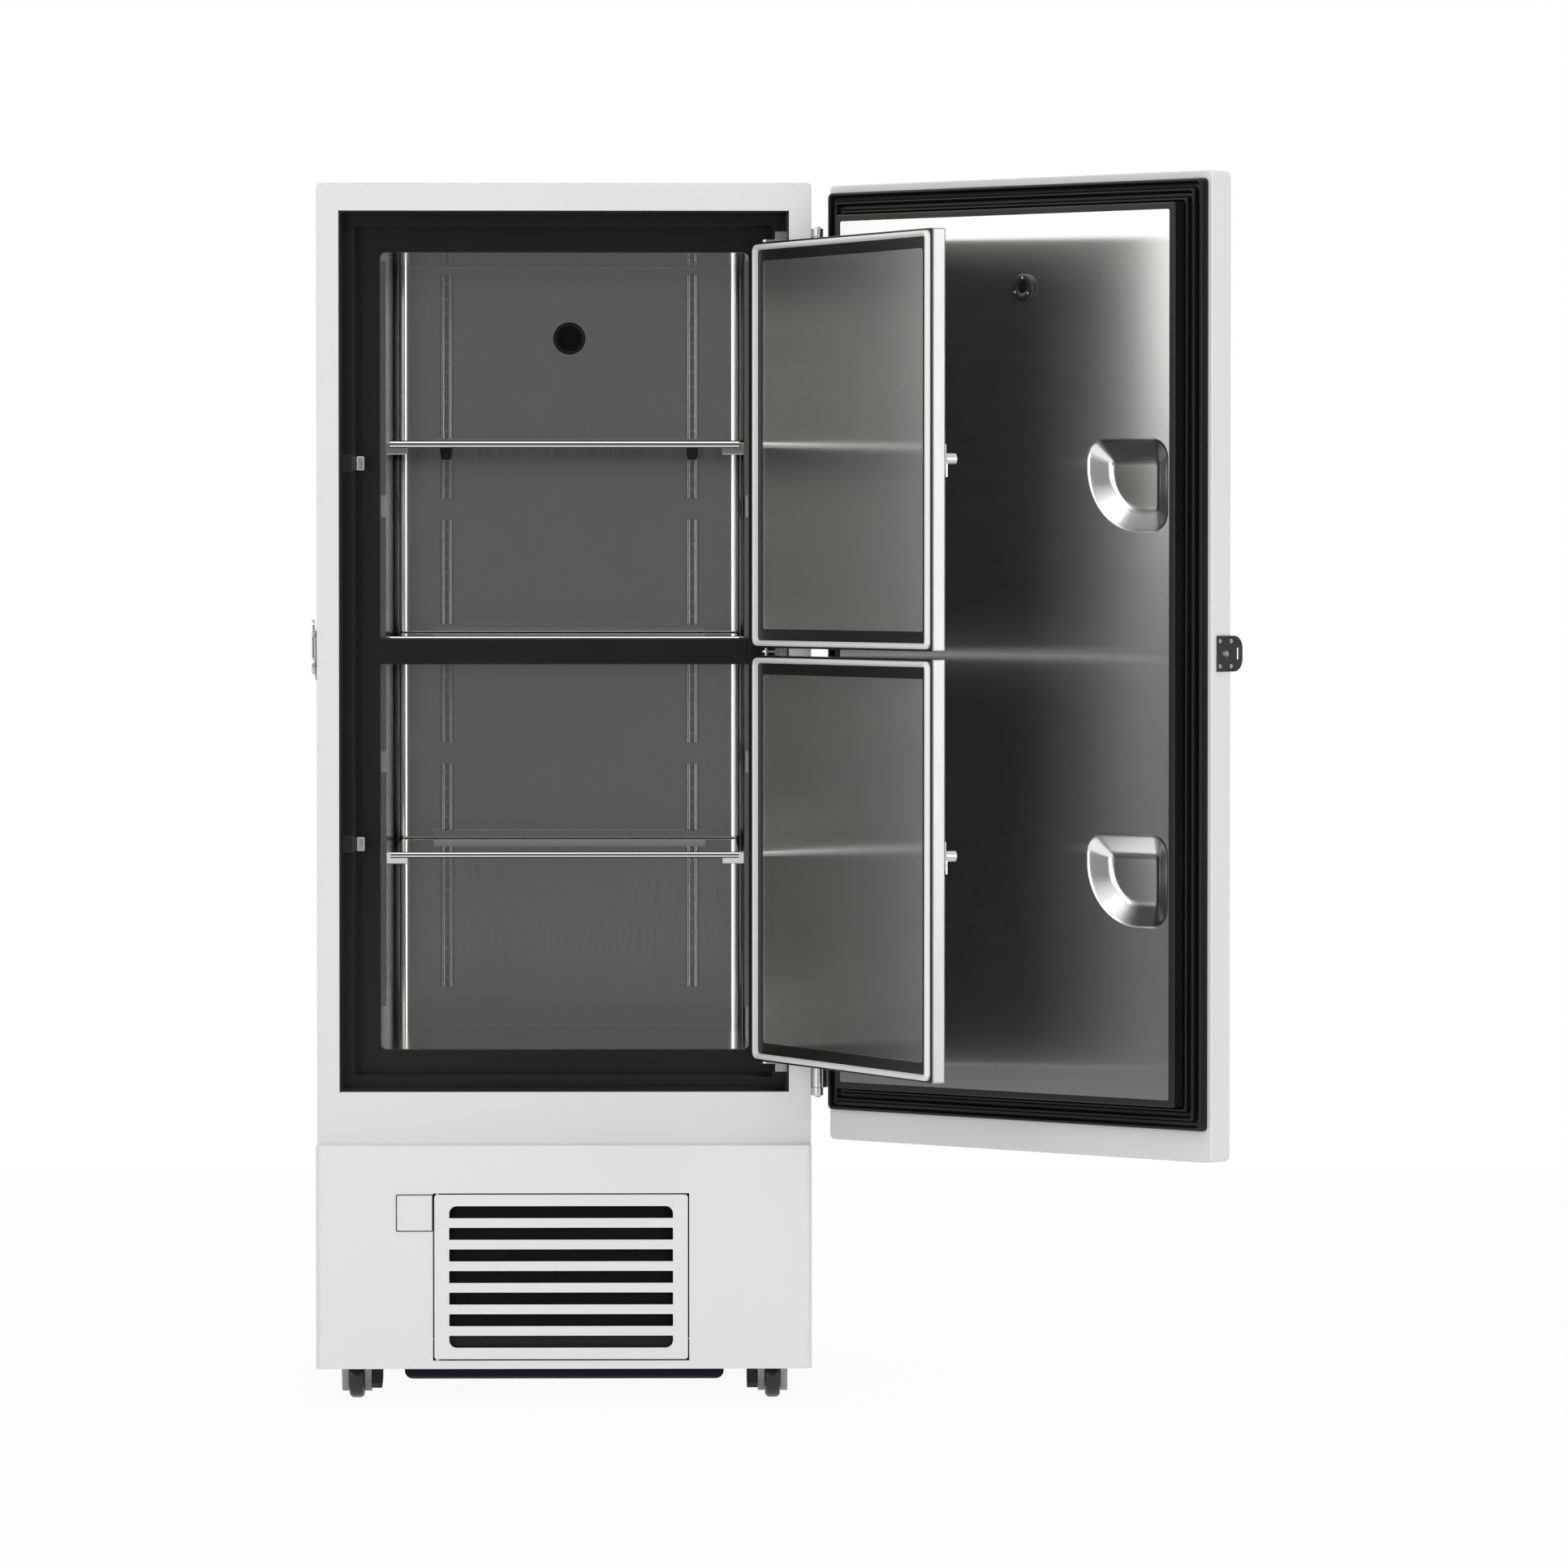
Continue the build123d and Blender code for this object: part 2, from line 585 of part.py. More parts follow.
# Shelf clips: tapered blocks on the pilasters, four under each shelf
with BuildPart() as shelf_clips:
    for wall_plane, across in pilaster_places:
        for shelf_top in SHELF_TOPS:
            clip_top = shelf_top - SHELF_SHEET
            with BuildSketch(wall_plane.offset(PILASTER_DEPTH)) as clip_outline:
                with BuildLine():
                    Polyline(
                        (across - CLIP_WIDTH / 2, clip_top),
                        (across + CLIP_WIDTH / 2, clip_top),
                        (across + CLIP_WIDTH / 2 - CLIP_TAPER, clip_top - CLIP_HEIGHT),
                        (across - CLIP_WIDTH / 2 + CLIP_TAPER, clip_top - CLIP_HEIGHT),
                        close=True,
                    )
                make_face()
            extrude(amount=CLIP_REACH)
save(shelf_clips, "shelf_clips")


def shelf(name, top):
    """Folded shelf: hemmed front lip, flat deck and a shorter upstand at the back."""
    with BuildPart() as deck:
        deck_x = (-SHELF_HALF, SHELF_HALF)
        slab(deck_x, (SHELF_FRONT, SHELF_BACK), (top - SHELF_SHEET, top))
        slab(deck_x, (SHELF_FRONT, SHELF_FRONT + SHELF_SHEET), (top - SHELF_LIP, top))
        hem_z = (top - SHELF_LIP, top - SHELF_LIP + SHELF_SHEET)
        slab(deck_x, (SHELF_FRONT, SHELF_FRONT + SHELF_HEM), hem_z)
        upstand_half = SHELF_HALF - SHELF_UPSTAND_INSET
        upstand_y = (SHELF_BACK - SHELF_SHEET, SHELF_BACK)
        slab((-upstand_half, upstand_half), upstand_y, (top, top + SHELF_UPSTAND))
    save(deck, name)


for shelf_name, shelf_top in zip(("shelf_lower", "shelf_middle", "shelf_upper"), SHELF_TOPS):
    shelf(shelf_name, shelf_top)

# Access port: flanged sleeve through the back, with a stopper pushed in from the chamber
with BuildPart() as access_port:
    sleeve_outer = PORT_BORE + 2 * PORT_WALL
    port_front = CHAMBER_BACK - PORT_WALL
    disc(front(BACK), (0, PORT_Z), sleeve_outer, BACK - CHAMBER_BACK)
    disc(front(CHAMBER_BACK), (0, PORT_Z), sleeve_outer + 2 * PORT_FLANGE, PORT_WALL)
    disc(front(BACK), (0, PORT_Z), PORT_BORE, BACK - port_front, Mode.SUBTRACT)
    stopper = PORT_BORE - 2 * FACE_CLEARANCE
    disc(front(port_front + PORT_PLUG_LENGTH), (0, PORT_Z), stopper, PORT_PLUG_LENGTH + PORT_WALL)
save(access_port, "access_port")

# Evaporator coil: one tube that runs round the liner's left, back and right walls
with BuildPart() as evaporator_coil:
    coil_x = LINER_HALF + COIL_CLEARANCE + COIL_DIAMETER / 2
    coil_back = LINER_BACK + COIL_CLEARANCE + COIL_DIAMETER / 2
    coil_front = CHAMBER_FRONT + COIL_MARGIN / 2
    coil_rise = (CHAMBER_HIGH - CHAMBER_LOW - 2 * COIL_MARGIN) / (COIL_RUNS - 1)
    coil_points = []
    for run in range(COIL_RUNS):
        run_z = CHAMBER_LOW + COIL_MARGIN + run * coil_rise
        run_points = [
            (-coil_x, coil_front, run_z),
            (-coil_x, coil_back, run_z),
            (coil_x, coil_back, run_z),
            (coil_x, coil_front, run_z),
        ]
        coil_points += run_points if run % 2 == 0 else run_points[::-1]
    corner = CHAMBER_CORNER_RADIUS + coil_x - CHAMBER_HALF
    turn = COIL_TURN_RADIUS
    coil_radii = ([corner, corner, turn, turn] * COIL_RUNS)[:-2]
    with BuildLine() as coil_path:
        FilletPolyline(*coil_points, radius=coil_radii)
    with BuildSketch(Plane(coil_points[0], z_dir=(0, 1, 0))):
        Circle(COIL_DIAMETER / 2)
    sweep(path=coil_path.wires()[0])
save(evaporator_coil, "evaporator_coil")

# Cabinet halves of the outer hinges: leaf, two end knuckles and the pin
with BuildPart() as hinge_cabinet_leaves:
    for low in HINGE_LOWS:
        high = low + HINGE_LENGTH
        leaf_y = (FRONT + HINGE_BARREL / 2 + HINGE_LEAF, FRONT + HINGE_BARREL / 2 + HINGE_LEAF_REACH)
        slab((HALF, HALF + HINGE_LEAF), leaf_y, (low, high))
        for knuckle in (low, high - HINGE_KNUCKLE):
            disc(level(knuckle), (HINGE_X, FRONT), HINGE_BARREL, HINGE_KNUCKLE)
            slab((HALF, HALF + HINGE_LEAF), (FRONT, leaf_y[0]), (knuckle, knuckle + HINGE_KNUCKLE))
            web_x = (HALF, HINGE_X)
            slab(web_x, (FRONT, FRONT + HINGE_BARREL / 2), (knuckle, knuckle + HINGE_KNUCKLE))
        disc(level(low), (HINGE_X, FRONT), HINGE_PIN, HINGE_LENGTH)
save(hinge_cabinet_leaves, "hinge_cabinet_leaves")

# Plate and stud that carry the swinging hook on the cabinet's left side
with BuildPart() as hook_pivot_plate:
    plate_half = HOOK_PLATE_WIDTH / 2
    hook_plate_z = (HOOK_PIVOT_Z - HOOK_PLATE_MARGIN, HOOK_PIVOT_Z + HOOK_RADIUS)
    with BuildSketch(side(-HALF - STRIKE_SHEET)) as hook_plate:
        with Locations((HOOK_PIVOT_Y + HOOK_PLATE_MARGIN - plate_half / 2, sum(hook_plate_z) / 2)):
            RectangleRounded(HOOK_PLATE_WIDTH, hook_plate_z[1] - hook_plate_z[0], HOOK_NOTCH_CLEARANCE * 4)
    extrude(amount=STRIKE_SHEET)
    stud_plane = side(HOOK_X - HOOK_SHEET)
    disc(stud_plane, (HOOK_PIVOT_Y, HOOK_PIVOT_Z), HOOK_PIVOT_PIN, HOOK_SHEET + HOOK_GAP)
save(hook_pivot_plate, "hook_pivot_plate")

# Swinging hook: boss at the stud, neck, and a head with a notch for the strike pin
with BuildPart() as door_hook:
    head_z = HOOK_PIVOT_Z + HOOK_RADIUS
    with BuildSketch(side(HOOK_X - HOOK_SHEET)) as hook_outline:
        with Locations((HOOK_PIVOT_Y, HOOK_PIVOT_Z)):
            Circle(HOOK_BOSS)
        with Locations((HOOK_PIVOT_Y, (HOOK_PIVOT_Z + head_z) / 2)):
            Rectangle(HOOK_NECK, HOOK_RADIUS)
        with Locations((HOOK_PIVOT_Y, head_z)):
            Circle(HOOK_HEAD)
        notch = STRIKE_PIN / 2 + HOOK_NOTCH_CLEARANCE
        with Locations((HOOK_PIVOT_Y, head_z)):
            Circle(notch, mode=Mode.SUBTRACT)
        with Locations((HOOK_PIVOT_Y - HOOK_HEAD, head_z)):
            Rectangle(2 * HOOK_HEAD, 2 * notch, mode=Mode.SUBTRACT)
        with Locations((HOOK_PIVOT_Y, HOOK_PIVOT_Z)):
            Circle(HOOK_PIVOT_PIN / 2 + RUNNING_CLEARANCE, mode=Mode.SUBTRACT)
    extrude(amount=HOOK_SHEET)
save(door_hook, "door_hook")

# Keepers on the landing, one beside each inner door lever
with BuildPart() as inner_door_keepers:
    for latch_z in (UPPER_LATCH_Z, LOWER_LATCH_Z):
        keeper_z = (latch_z - KEEPER_HEIGHT / 2, latch_z + KEEPER_HEIGHT / 2)
        tab_y = (LATCH_HOOK_Y - KEEPER_GAP - KEEPER_SHEET, LATCH_HOOK_Y - KEEPER_GAP)
        post_x = (-INNER_HALF - KEEPER_SHEET, -INNER_HALF)
        slab((post_x[0], post_x[1] + KEEPER_REACH), tab_y, keeper_z)
        slab(post_x, (tab_y[0], LANDING_Y), keeper_z)
        foot_x = (-RECESS_HALF + BREAKER_WALL, post_x[1])
        slab(foot_x, (LANDING_Y - BRACKET_FOOT, LANDING_Y), grown(keeper_z, KEEPER_SHEET))
save(inner_door_keepers, "inner_door_keepers")

# Hinge brackets of the inner doors: foot on the landing, arm, and a pin into each door edge
with BuildPart() as inner_hinge_brackets:
    arm_gap = BRACKET_GAP
    bracket_arms = (
        (UPPER_DOOR_HIGH + arm_gap, (-1,)),
        (CHAMBER_MIDDLE - BRACKET_SHEET / 2, (-1, 1)),
        (LOWER_DOOR_LOW - arm_gap - BRACKET_SHEET, (1,)),
    )
    foot_y = (LANDING_Y - BRACKET_FOOT, LANDING_Y)
    foot_x = (INNER_HALF + BRACKET_FOOT, RECESS_HALF - BREAKER_WALL)
    for arm_low, pin_ways in bracket_arms:
        arm_z = (arm_low, arm_low + BRACKET_SHEET)
        middle = sum(arm_z) / 2
        slab(foot_x, foot_y, (middle - BRACKET_HEIGHT / 2, middle + BRACKET_HEIGHT / 2))
        slab((INNER_AXIS_X, foot_x[1]), (INNER_AXIS_Y - INNER_AXIS_INSET, LANDING_Y), arm_z)
        arm_half = INNER_AXIS_INSET
        slab((INNER_AXIS_X, INNER_HALF), grown((INNER_AXIS_Y, INNER_AXIS_Y), arm_half), arm_z)
        disc(level(arm_low), (INNER_AXIS_X, INNER_AXIS_Y), 2 * arm_half, BRACKET_SHEET)
        for way in pin_ways:
            pin_length = INNER_GAP_MIDDLE / 2 + INNER_PIN_DEPTH
            disc(level(middle), (INNER_AXIS_X, INNER_AXIS_Y), INNER_PIN, way * pin_length)
save(inner_hinge_brackets, "inner_hinge_brackets")

# Outer door shell: pan with rounded front edges and a return flange behind the gasket
door_axis = Axis((0, 0, 0), (DOOR * Location((0, 0, 0), (90, 0, 0))).z_axis.direction)
with BuildPart() as door_shell:
    slab((-HALF, HALF), (DOOR_OUT, DOOR_IN), (DOOR_LOW, DOOR_HIGH), DOOR)
    fillet(door_shell.faces().sort_by(door_axis)[-1].edges(), DOOR_EDGE_RADIUS)
    with BuildPart(mode=Mode.PRIVATE) as door_hollow:
        hollow_x = grown((-HALF, HALF), -SHEET)
        slab(hollow_x, (DOOR_OUT + SHEET, DOOR_IN - SHEET), grown((DOOR_LOW, DOOR_HIGH), -SHEET), DOOR)
        fillet(door_hollow.faces().sort_by(door_axis)[-1].edges(), DOOR_EDGE_RADIUS - SHEET)
    add(door_hollow.part, mode=Mode.SUBTRACT)
    opening_x = (-PLUG_HALF + PLUG_WALL, PLUG_HALF - PLUG_WALL)
    opening_z = (PLUG_LOW + PLUG_WALL, PLUG_HIGH - PLUG_WALL)
    slab(opening_x, (DOOR_IN - SHEET, DOOR_IN), opening_z, DOOR, Mode.SUBTRACT)
save(door_shell, "door_shell")

# Foam of the outer door: a block in the shell and a thinner one in the plug, behind the pressed pockets
with BuildPart() as door_insulation:
    foam_x = grown((-HALF, HALF), -DOOR_EDGE_RADIUS)
    slab(foam_x, (DOOR_OUT + SHEET, DOOR_IN - SHEET), grown((DOOR_LOW, DOOR_HIGH), -DOOR_EDGE_RADIUS), DOOR)
    foam_back = PLUG_Y - POCKET_DEPTH - 2 * DOOR_LINER_SHEET
    slab(opening_x, (DOOR_IN - SHEET, foam_back), opening_z, DOOR)
save(door_insulation, "door_insulation")

# Plug frame: raised step of the outer door, with a border that holds the liner's edge
with BuildPart() as door_plug_frame:
    plug_x = (-PLUG_HALF, PLUG_HALF)
    plug_z = (PLUG_LOW, PLUG_HIGH)
    wall_x = grown(plug_x, -PLUG_WALL)
    wall_z = grown(plug_z, -PLUG_WALL)
    border_x = grown(plug_x, -PLUG_BORDER)
    border_z = grown(plug_z, -PLUG_BORDER)
    ring(front(DOOR_IN, DOOR), (plug_x, plug_z), (wall_x, wall_z), -PLUG_RISE)
    ring(front(PLUG_Y, DOOR), (plug_x, plug_z), (border_x, border_z), PLUG_WALL)
save(door_plug_frame, "door_plug_frame")


def pocket_outline(plane, latch_z, inset, corner, arc):
    """Outline of a pressed pocket: square at the lever's pivot, one large arc round its swing."""
    left = LATCH_X - POCKET_CORNER + inset
    right = LATCH_X + POCKET_SWEEP - inset
    low = latch_z - POCKET_DROP + inset
    high = latch_z + POCKET_CORNER - inset
    with BuildSketch(plane) as outline:
        with BuildLine():
            Line((left, low + corner), (left, high - corner))
            RadiusArc((left, high - corner), (left + corner, high), corner)
            Line((left + corner, high), (right - corner, high))
            RadiusArc((right - corner, high), (right, high - corner), corner)
            Line((right, high - corner), (right, low + arc))
            RadiusArc((right, low + arc), (right - arc, low), arc)
            Line((right - arc, low), (left + corner, low))
            RadiusArc((left + corner, low), (left, low + corner), corner)
        make_face()
    return outline.sketch


def pocket(latch_z, depth, wall, mode):
    """Body of a pressed pocket, from the liner's face down to its floor, grown by a wall."""
    mouth = pocket_outline(front(PLUG_Y, DOOR), latch_z, -wall, POCKET_CORNER, POCKET_ARC)
    base_plane = front(PLUG_Y - depth, DOOR)
    floor_inset = POCKET_RUN - wall
    floor = pocket_outline(base_plane, latch_z, floor_inset, POCKET_FLOOR_CORNER, POCKET_FLOOR_ARC)
    loft([mouth, floor], ruled=True, mode=mode)


# Outer door liner: steel sheet with a pressed pocket over each inner door lever
with BuildPart() as door_liner:
    liner_y = (PLUG_Y - DOOR_LINER_SHEET, PLUG_Y)
    slab(border_x, liner_y, border_z, DOOR)
    for latch_z in (UPPER_LATCH_Z, LOWER_LATCH_Z):
        pocket(latch_z, POCKET_DEPTH + DOOR_LINER_SHEET, DOOR_LINER_SHEET, Mode.ADD)
    for latch_z in (UPPER_LATCH_Z, LOWER_LATCH_Z):
        pocket(latch_z, POCKET_DEPTH, 0.0, Mode.SUBTRACT)
save(door_liner, "door_liner")

# Outer gasket: base strip round the plug with ribs that meet the cabinet flange
with BuildPart() as door_gasket:
    gasket_in = GASKET_INSET
    gasket_out = gasket_in + GASKET_WIDTH
    gasket_height = DOOR_STANDOFF - GASKET_CLEARANCE
    gasket_plane = front(DOOR_IN, DOOR)
    outer_limits = (grown(plug_x, gasket_out), grown(plug_z, gasket_out))
    inner_limits = (grown(plug_x, gasket_in), grown(plug_z, gasket_in))
    ring(gasket_plane, outer_limits, inner_limits, -GASKET_BASE)
    rib_pitch = (GASKET_WIDTH - GASKET_RIB_WIDTH) / (GASKET_RIBS - 1)
    for rib in range(GASKET_RIBS):
        rib_in = gasket_in + rib * rib_pitch
        rib_out = rib_in + GASKET_RIB_WIDTH
        rib_limits = (grown(plug_x, rib_out), grown(plug_z, rib_out))
        rib_hole = (grown(plug_x, rib_in), grown(plug_z, rib_in))
        ring(gasket_plane, rib_limits, rib_hole, -gasket_height)
save(door_gasket, "door_gasket")

# Door halves of the outer hinges: leaf on the door edge and one long knuckle on the pin
with BuildPart() as hinge_door_leaves:
    for low in HINGE_LOWS:
        knuckle_z = grown((low, low + HINGE_LENGTH), -HINGE_KNUCKLE - FACE_CLEARANCE)
        knuckle_length = knuckle_z[1] - knuckle_z[0]
        leaf_y = (DOOR_IN - HINGE_LEAF_REACH, FRONT)
        slab((HALF, HALF + HINGE_LEAF), leaf_y, knuckle_z, DOOR)
        slab((HALF, HINGE_X), (FRONT - HINGE_BARREL / 2, FRONT), knuckle_z, DOOR)
        disc(level(knuckle_z[0], DOOR), (HINGE_X, FRONT), HINGE_BARREL, knuckle_length)
        bore = HINGE_PIN + 2 * RUNNING_CLEARANCE
        disc(level(knuckle_z[0], DOOR), (HINGE_X, FRONT), bore, knuckle_length, Mode.SUBTRACT)
save(hinge_door_leaves, "hinge_door_leaves")

# Strike plate on the door's free edge: rounded padlock tab with a slot, and the pin for the hook
with BuildPart() as strike_plate:
    strike_y = (DOOR_OUT - STRIKE_TAB, DOOR_IN - STRIKE_INSET)
    with BuildSketch(side(-HALF - STRIKE_SHEET, DOOR)) as strike_outline:
        with Locations((sum(strike_y) / 2, STRIKE_Z)):
            Rectangle(strike_y[1] - strike_y[0], STRIKE_HEIGHT)
        fillet(strike_outline.vertices().group_by(Axis.X)[0], STRIKE_TAB_RADIUS)
        with Locations((DOOR_OUT - STRIKE_TAB / 2, STRIKE_Z)):
            Rectangle(STRIKE_SLOT_WIDTH, STRIKE_SLOT_HEIGHT, mode=Mode.SUBTRACT)
    extrude(amount=STRIKE_SHEET)
    pin_plane = side(-HALF - STRIKE_SHEET - STRIKE_PIN_REACH, DOOR)
    disc(pin_plane, (STRIKE_PIN_Y, STRIKE_Z), STRIKE_PIN, STRIKE_PIN_REACH)
save(strike_plate, "strike_plate")

# Pressure relief port on the door liner
with BuildPart() as pressure_port:
    port_centre = (-PRESSURE_PORT_X, PLUG_HIGH - PRESSURE_PORT_DROP)
    port_plane = front(PLUG_Y, DOOR)
    disc(port_plane, port_centre, PRESSURE_PORT, -PRESSURE_PORT_RISE)
    raised = pressure_port.faces().filter_by(GeomType.PLANE).sort_by(door_axis)[0]
    chamfer(raised.edges(), PRESSURE_PORT_RISE / 4)
    disc(port_plane, port_centre, PRESSURE_PORT_BORE, -PRESSURE_PORT_RISE, Mode.SUBTRACT)
save(pressure_port, "pressure_port")

# Touch display let into a shallow bezel on the door's front
with BuildPart() as door_display:
    with BuildSketch(front(DOOR_OUT, DOOR)):
        with Locations((0, BASE_TOP + DISPLAY_CENTRE)):
            RectangleRounded(DISPLAY_WIDTH, DISPLAY_HEIGHT, DISPLAY_RADIUS)
    extrude(amount=DISPLAY_DEPTH)
    with BuildSketch(front(DOOR_OUT - DISPLAY_DEPTH, DOOR)):
        with Locations((0, BASE_TOP + DISPLAY_CENTRE)):
            Rectangle(DISPLAY_WIDTH - 2 * DISPLAY_BEZEL, DISPLAY_HEIGHT - 2 * DISPLAY_BEZEL)
    extrude(amount=-DISPLAY_DEPTH / 3, mode=Mode.SUBTRACT)
save(door_display, "door_display")

# Bar handle on two posts on the door's front
with BuildPart() as door_handle:
    handle_x = -HALF + HANDLE_EDGE_INSET
    handle_y = DOOR_OUT - HANDLE_STANDOFF
    handle_low = BASE_TOP + HANDLE_CENTRE - HANDLE_LENGTH / 2
    disc(level(handle_low, DOOR), (handle_x, handle_y), HANDLE_DIAMETER, HANDLE_LENGTH)
    fillet(door_handle.edges().filter_by(GeomType.CIRCLE), HANDLE_DIAMETER / 5)
    for post_z in (handle_low + HANDLE_POST_INSET, handle_low + HANDLE_LENGTH - HANDLE_POST_INSET):
        disc(front(DOOR_OUT, DOOR), (handle_x, post_z), HANDLE_POST, HANDLE_STANDOFF)
save(door_handle, "door_handle")


def inner_door(name, low, high, latch_z):
    """Inner door as pan with lever base, black frame, steel panel and seal."""
    door_x = (INNER_LEFT, INNER_RIGHT)
    door_z = (low, high)
    frame_front = INNER_BACK_Y - INNER_FRAME_THICK
    latch_bore = LATCH_PIN + 2 * RUNNING_CLEARANCE
    with BuildPart() as pan:
        slab(door_x, (INNER_FRONT_Y, frame_front), door_z, INNER)
        pan_hollow = (grown(door_x, -INNER_SHEET), grown(door_z, -INNER_SHEET))
        slab(pan_hollow[0], (INNER_FRONT_Y + INNER_SHEET, frame_front), pan_hollow[1], INNER, Mode.SUBTRACT)
        base_x = (INNER_LEFT + FACE_CLEARANCE, INNER_LEFT + FACE_CLEARANCE + LATCH_BASE_WIDTH)
        base_z = (latch_z - LATCH_BASE_HEIGHT / 2, latch_z + LATCH_BASE_HEIGHT / 2)
        slab(base_x, (LATCH_BASE_Y, INNER_FRONT_Y), base_z, INNER)
        disc(front(frame_front, INNER), (LATCH_X, latch_z), latch_bore, INNER_DOOR_THICKNESS, Mode.SUBTRACT)
        pin_bore = INNER_PIN + 2 * RUNNING_CLEARANCE
        axis_centre = (INNER_AXIS_X, INNER_AXIS_Y)
        disc(level(low, INNER), axis_centre, pin_bore, high - low, Mode.SUBTRACT)
    save(pan, f"{name}_pan")
    panel_x = grown(door_x, -INNER_FRAME)
    panel_z = grown(door_z, -INNER_FRAME)
    with BuildPart() as frame:
        ring(front(frame_front, INNER), (door_x, door_z), (panel_x, panel_z), -INNER_FRAME_THICK)
    save(frame, f"{name}_frame")
    with BuildPart() as panel:
        slab(panel_x, (INNER_BACK_Y - INNER_SHEET, INNER_BACK_Y), panel_z, INNER)
    save(panel, f"{name}_panel")
    with BuildPart() as seal:
        seal_out = (grown(door_x, -INNER_GASKET_INSET), grown(door_z, -INNER_GASKET_INSET))
        seal_edge = INNER_GASKET_INSET + INNER_GASKET_WIDTH
        seal_in = (grown(door_x, -seal_edge), grown(door_z, -seal_edge))
        seal_height = SEAT_Y - INNER_GASKET_CLEARANCE - INNER_BACK_Y
        ring(front(INNER_BACK_Y, INNER), seal_out, seal_in, -seal_height, INNER_GASKET_RADIUS)
    save(seal, f"{name}_gasket")
    with BuildPart() as lever:
        disc(front(LATCH_BACK_Y, INNER), (LATCH_X, latch_z), LATCH_BOSS, LATCH_RISE)
        pin_length = LATCH_BASE_SHEET + FACE_CLEARANCE + INNER_SHEET
        disc(front(LATCH_BACK_Y, INNER), (LATCH_X, latch_z), LATCH_PIN, -pin_length)
        arm_half = LATCH_ARM_WIDTH / 2
        arm_x = (LATCH_X - arm_half, LATCH_X + arm_half)
        slab(arm_x, (LATCH_HOOK_Y, LATCH_BACK_Y), (latch_z - LATCH_HOOK, latch_z), INNER)
        with BuildSketch(front(LATCH_TOP_Y + LATCH_HANDLE_SHEET, INNER)):
            with Locations((LATCH_X + (LATCH_HANDLE - arm_half) / 2, latch_z)):
                SlotOverall(LATCH_HANDLE + arm_half, LATCH_ARM_WIDTH)
        extrude(amount=LATCH_HANDLE_SHEET)
    save(lever, f"{name}_lever")


inner_door("upper_inner_door", UPPER_DOOR_LOW, UPPER_DOOR_HIGH, UPPER_LATCH_Z)
inner_door("lower_inner_door", LOWER_DOOR_LOW, LOWER_DOOR_HIGH, LOWER_LATCH_Z)

# Base housing: sheet plinth with rounded front corners, open at the bottom and the back
with BuildPart() as base_housing:
    for sheet, mode in ((0.0, Mode.ADD), (SHEET, Mode.SUBTRACT)):
        with BuildSketch(level(BASE_BOTTOM)) as base_plan:
            with Locations((0, (BASE_FRONT + sheet + BACK) / 2)):
                Rectangle(CABINET_WIDTH - 2 * sheet, BACK - BASE_FRONT - sheet)
            fillet(base_plan.vertices().group_by(Axis.Y)[0], BASE_CORNER_RADIUS - sheet)
        extrude(amount=BASE_TOP - BASE_BOTTOM - sheet, mode=mode)
    opening_half = GRILLE_WIDTH / 2 + GRILLE_GAP
    grille_opening_x = (GRILLE_X - opening_half, GRILLE_X + opening_half)
    grille_opening_z = (GRILLE_BOTTOM - GRILLE_GAP, GRILLE_TOP + GRILLE_GAP)
    slab(grille_opening_x, (BASE_FRONT, BASE_FRONT + SHEET), grille_opening_z, mode=Mode.SUBTRACT)
    lug_x = (GRILLE_AXIS_X - GRILLE_PIN, GRILLE_AXIS_X + GRILLE_PIN)
    lug_y = (BASE_FRONT + SHEET, GRILLE_AXIS_Y + GRILLE_PIN)
    for lug_low in (grille_opening_z[0] - GRILLE_LUG_SHEET, grille_opening_z[1]):
        slab(lug_x, lug_y, (lug_low, lug_low + GRILLE_LUG_SHEET))
        pin_bore = GRILLE_PIN + 2 * RUNNING_CLEARANCE
        disc(level(lug_low), (GRILLE_AXIS_X, GRILLE_AXIS_Y), pin_bore, GRILLE_LUG_SHEET, Mode.SUBTRACT)
save(base_housing, "base_housing")

# Grille door: moulded panel with a rim, long slots and hinge pins at its left edge
with BuildPart() as grille_door:
    grille_x = (GRILLE_LEFT, GRILLE_LEFT + GRILLE_WIDTH)
    grille_z = (GRILLE_BOTTOM, GRILLE_TOP)
    slab(grille_x, (BASE_FRONT, BASE_FRONT + GRILLE_SHEET), grille_z)
    rim = (grown(grille_x, -GRILLE_SHEET), grown(grille_z, -GRILLE_SHEET))
    ring(front(BASE_FRONT), (grille_x, grille_z), rim, -GRILLE_DEPTH)
    with BuildSketch(front(BASE_FRONT)):
        with Locations((GRILLE_X, GRILLE_MIDDLE)):
            with GridLocations(GRILLE_SLOT_WIDTH, GRILLE_SLOT_PITCH, 1, GRILLE_SLOTS):
                RectangleRounded(GRILLE_SLOT_WIDTH, GRILLE_SLOT_HEIGHT, GRILLE_SLOT_RADIUS)
    extrude(amount=-GRILLE_SHEET, mode=Mode.SUBTRACT)
    corner_x = (GRILLE_LEFT, GRILLE_AXIS_X + GRILLE_PIN)
    corner_y = (BASE_FRONT, GRILLE_AXIS_Y + GRILLE_PIN)
    for pin_low, way in ((GRILLE_BOTTOM, -1), (GRILLE_TOP, 1)):
        boss_z = sorted((pin_low, pin_low - way * GRILLE_PIN_REACH))
        slab(corner_x, corner_y, boss_z)
        pin_length = GRILLE_GAP + GRILLE_LUG_SHEET
        disc(level(pin_low), (GRILLE_AXIS_X, GRILLE_AXIS_Y), GRILLE_PIN, way * pin_length)
save(grille_door, "grille_door")

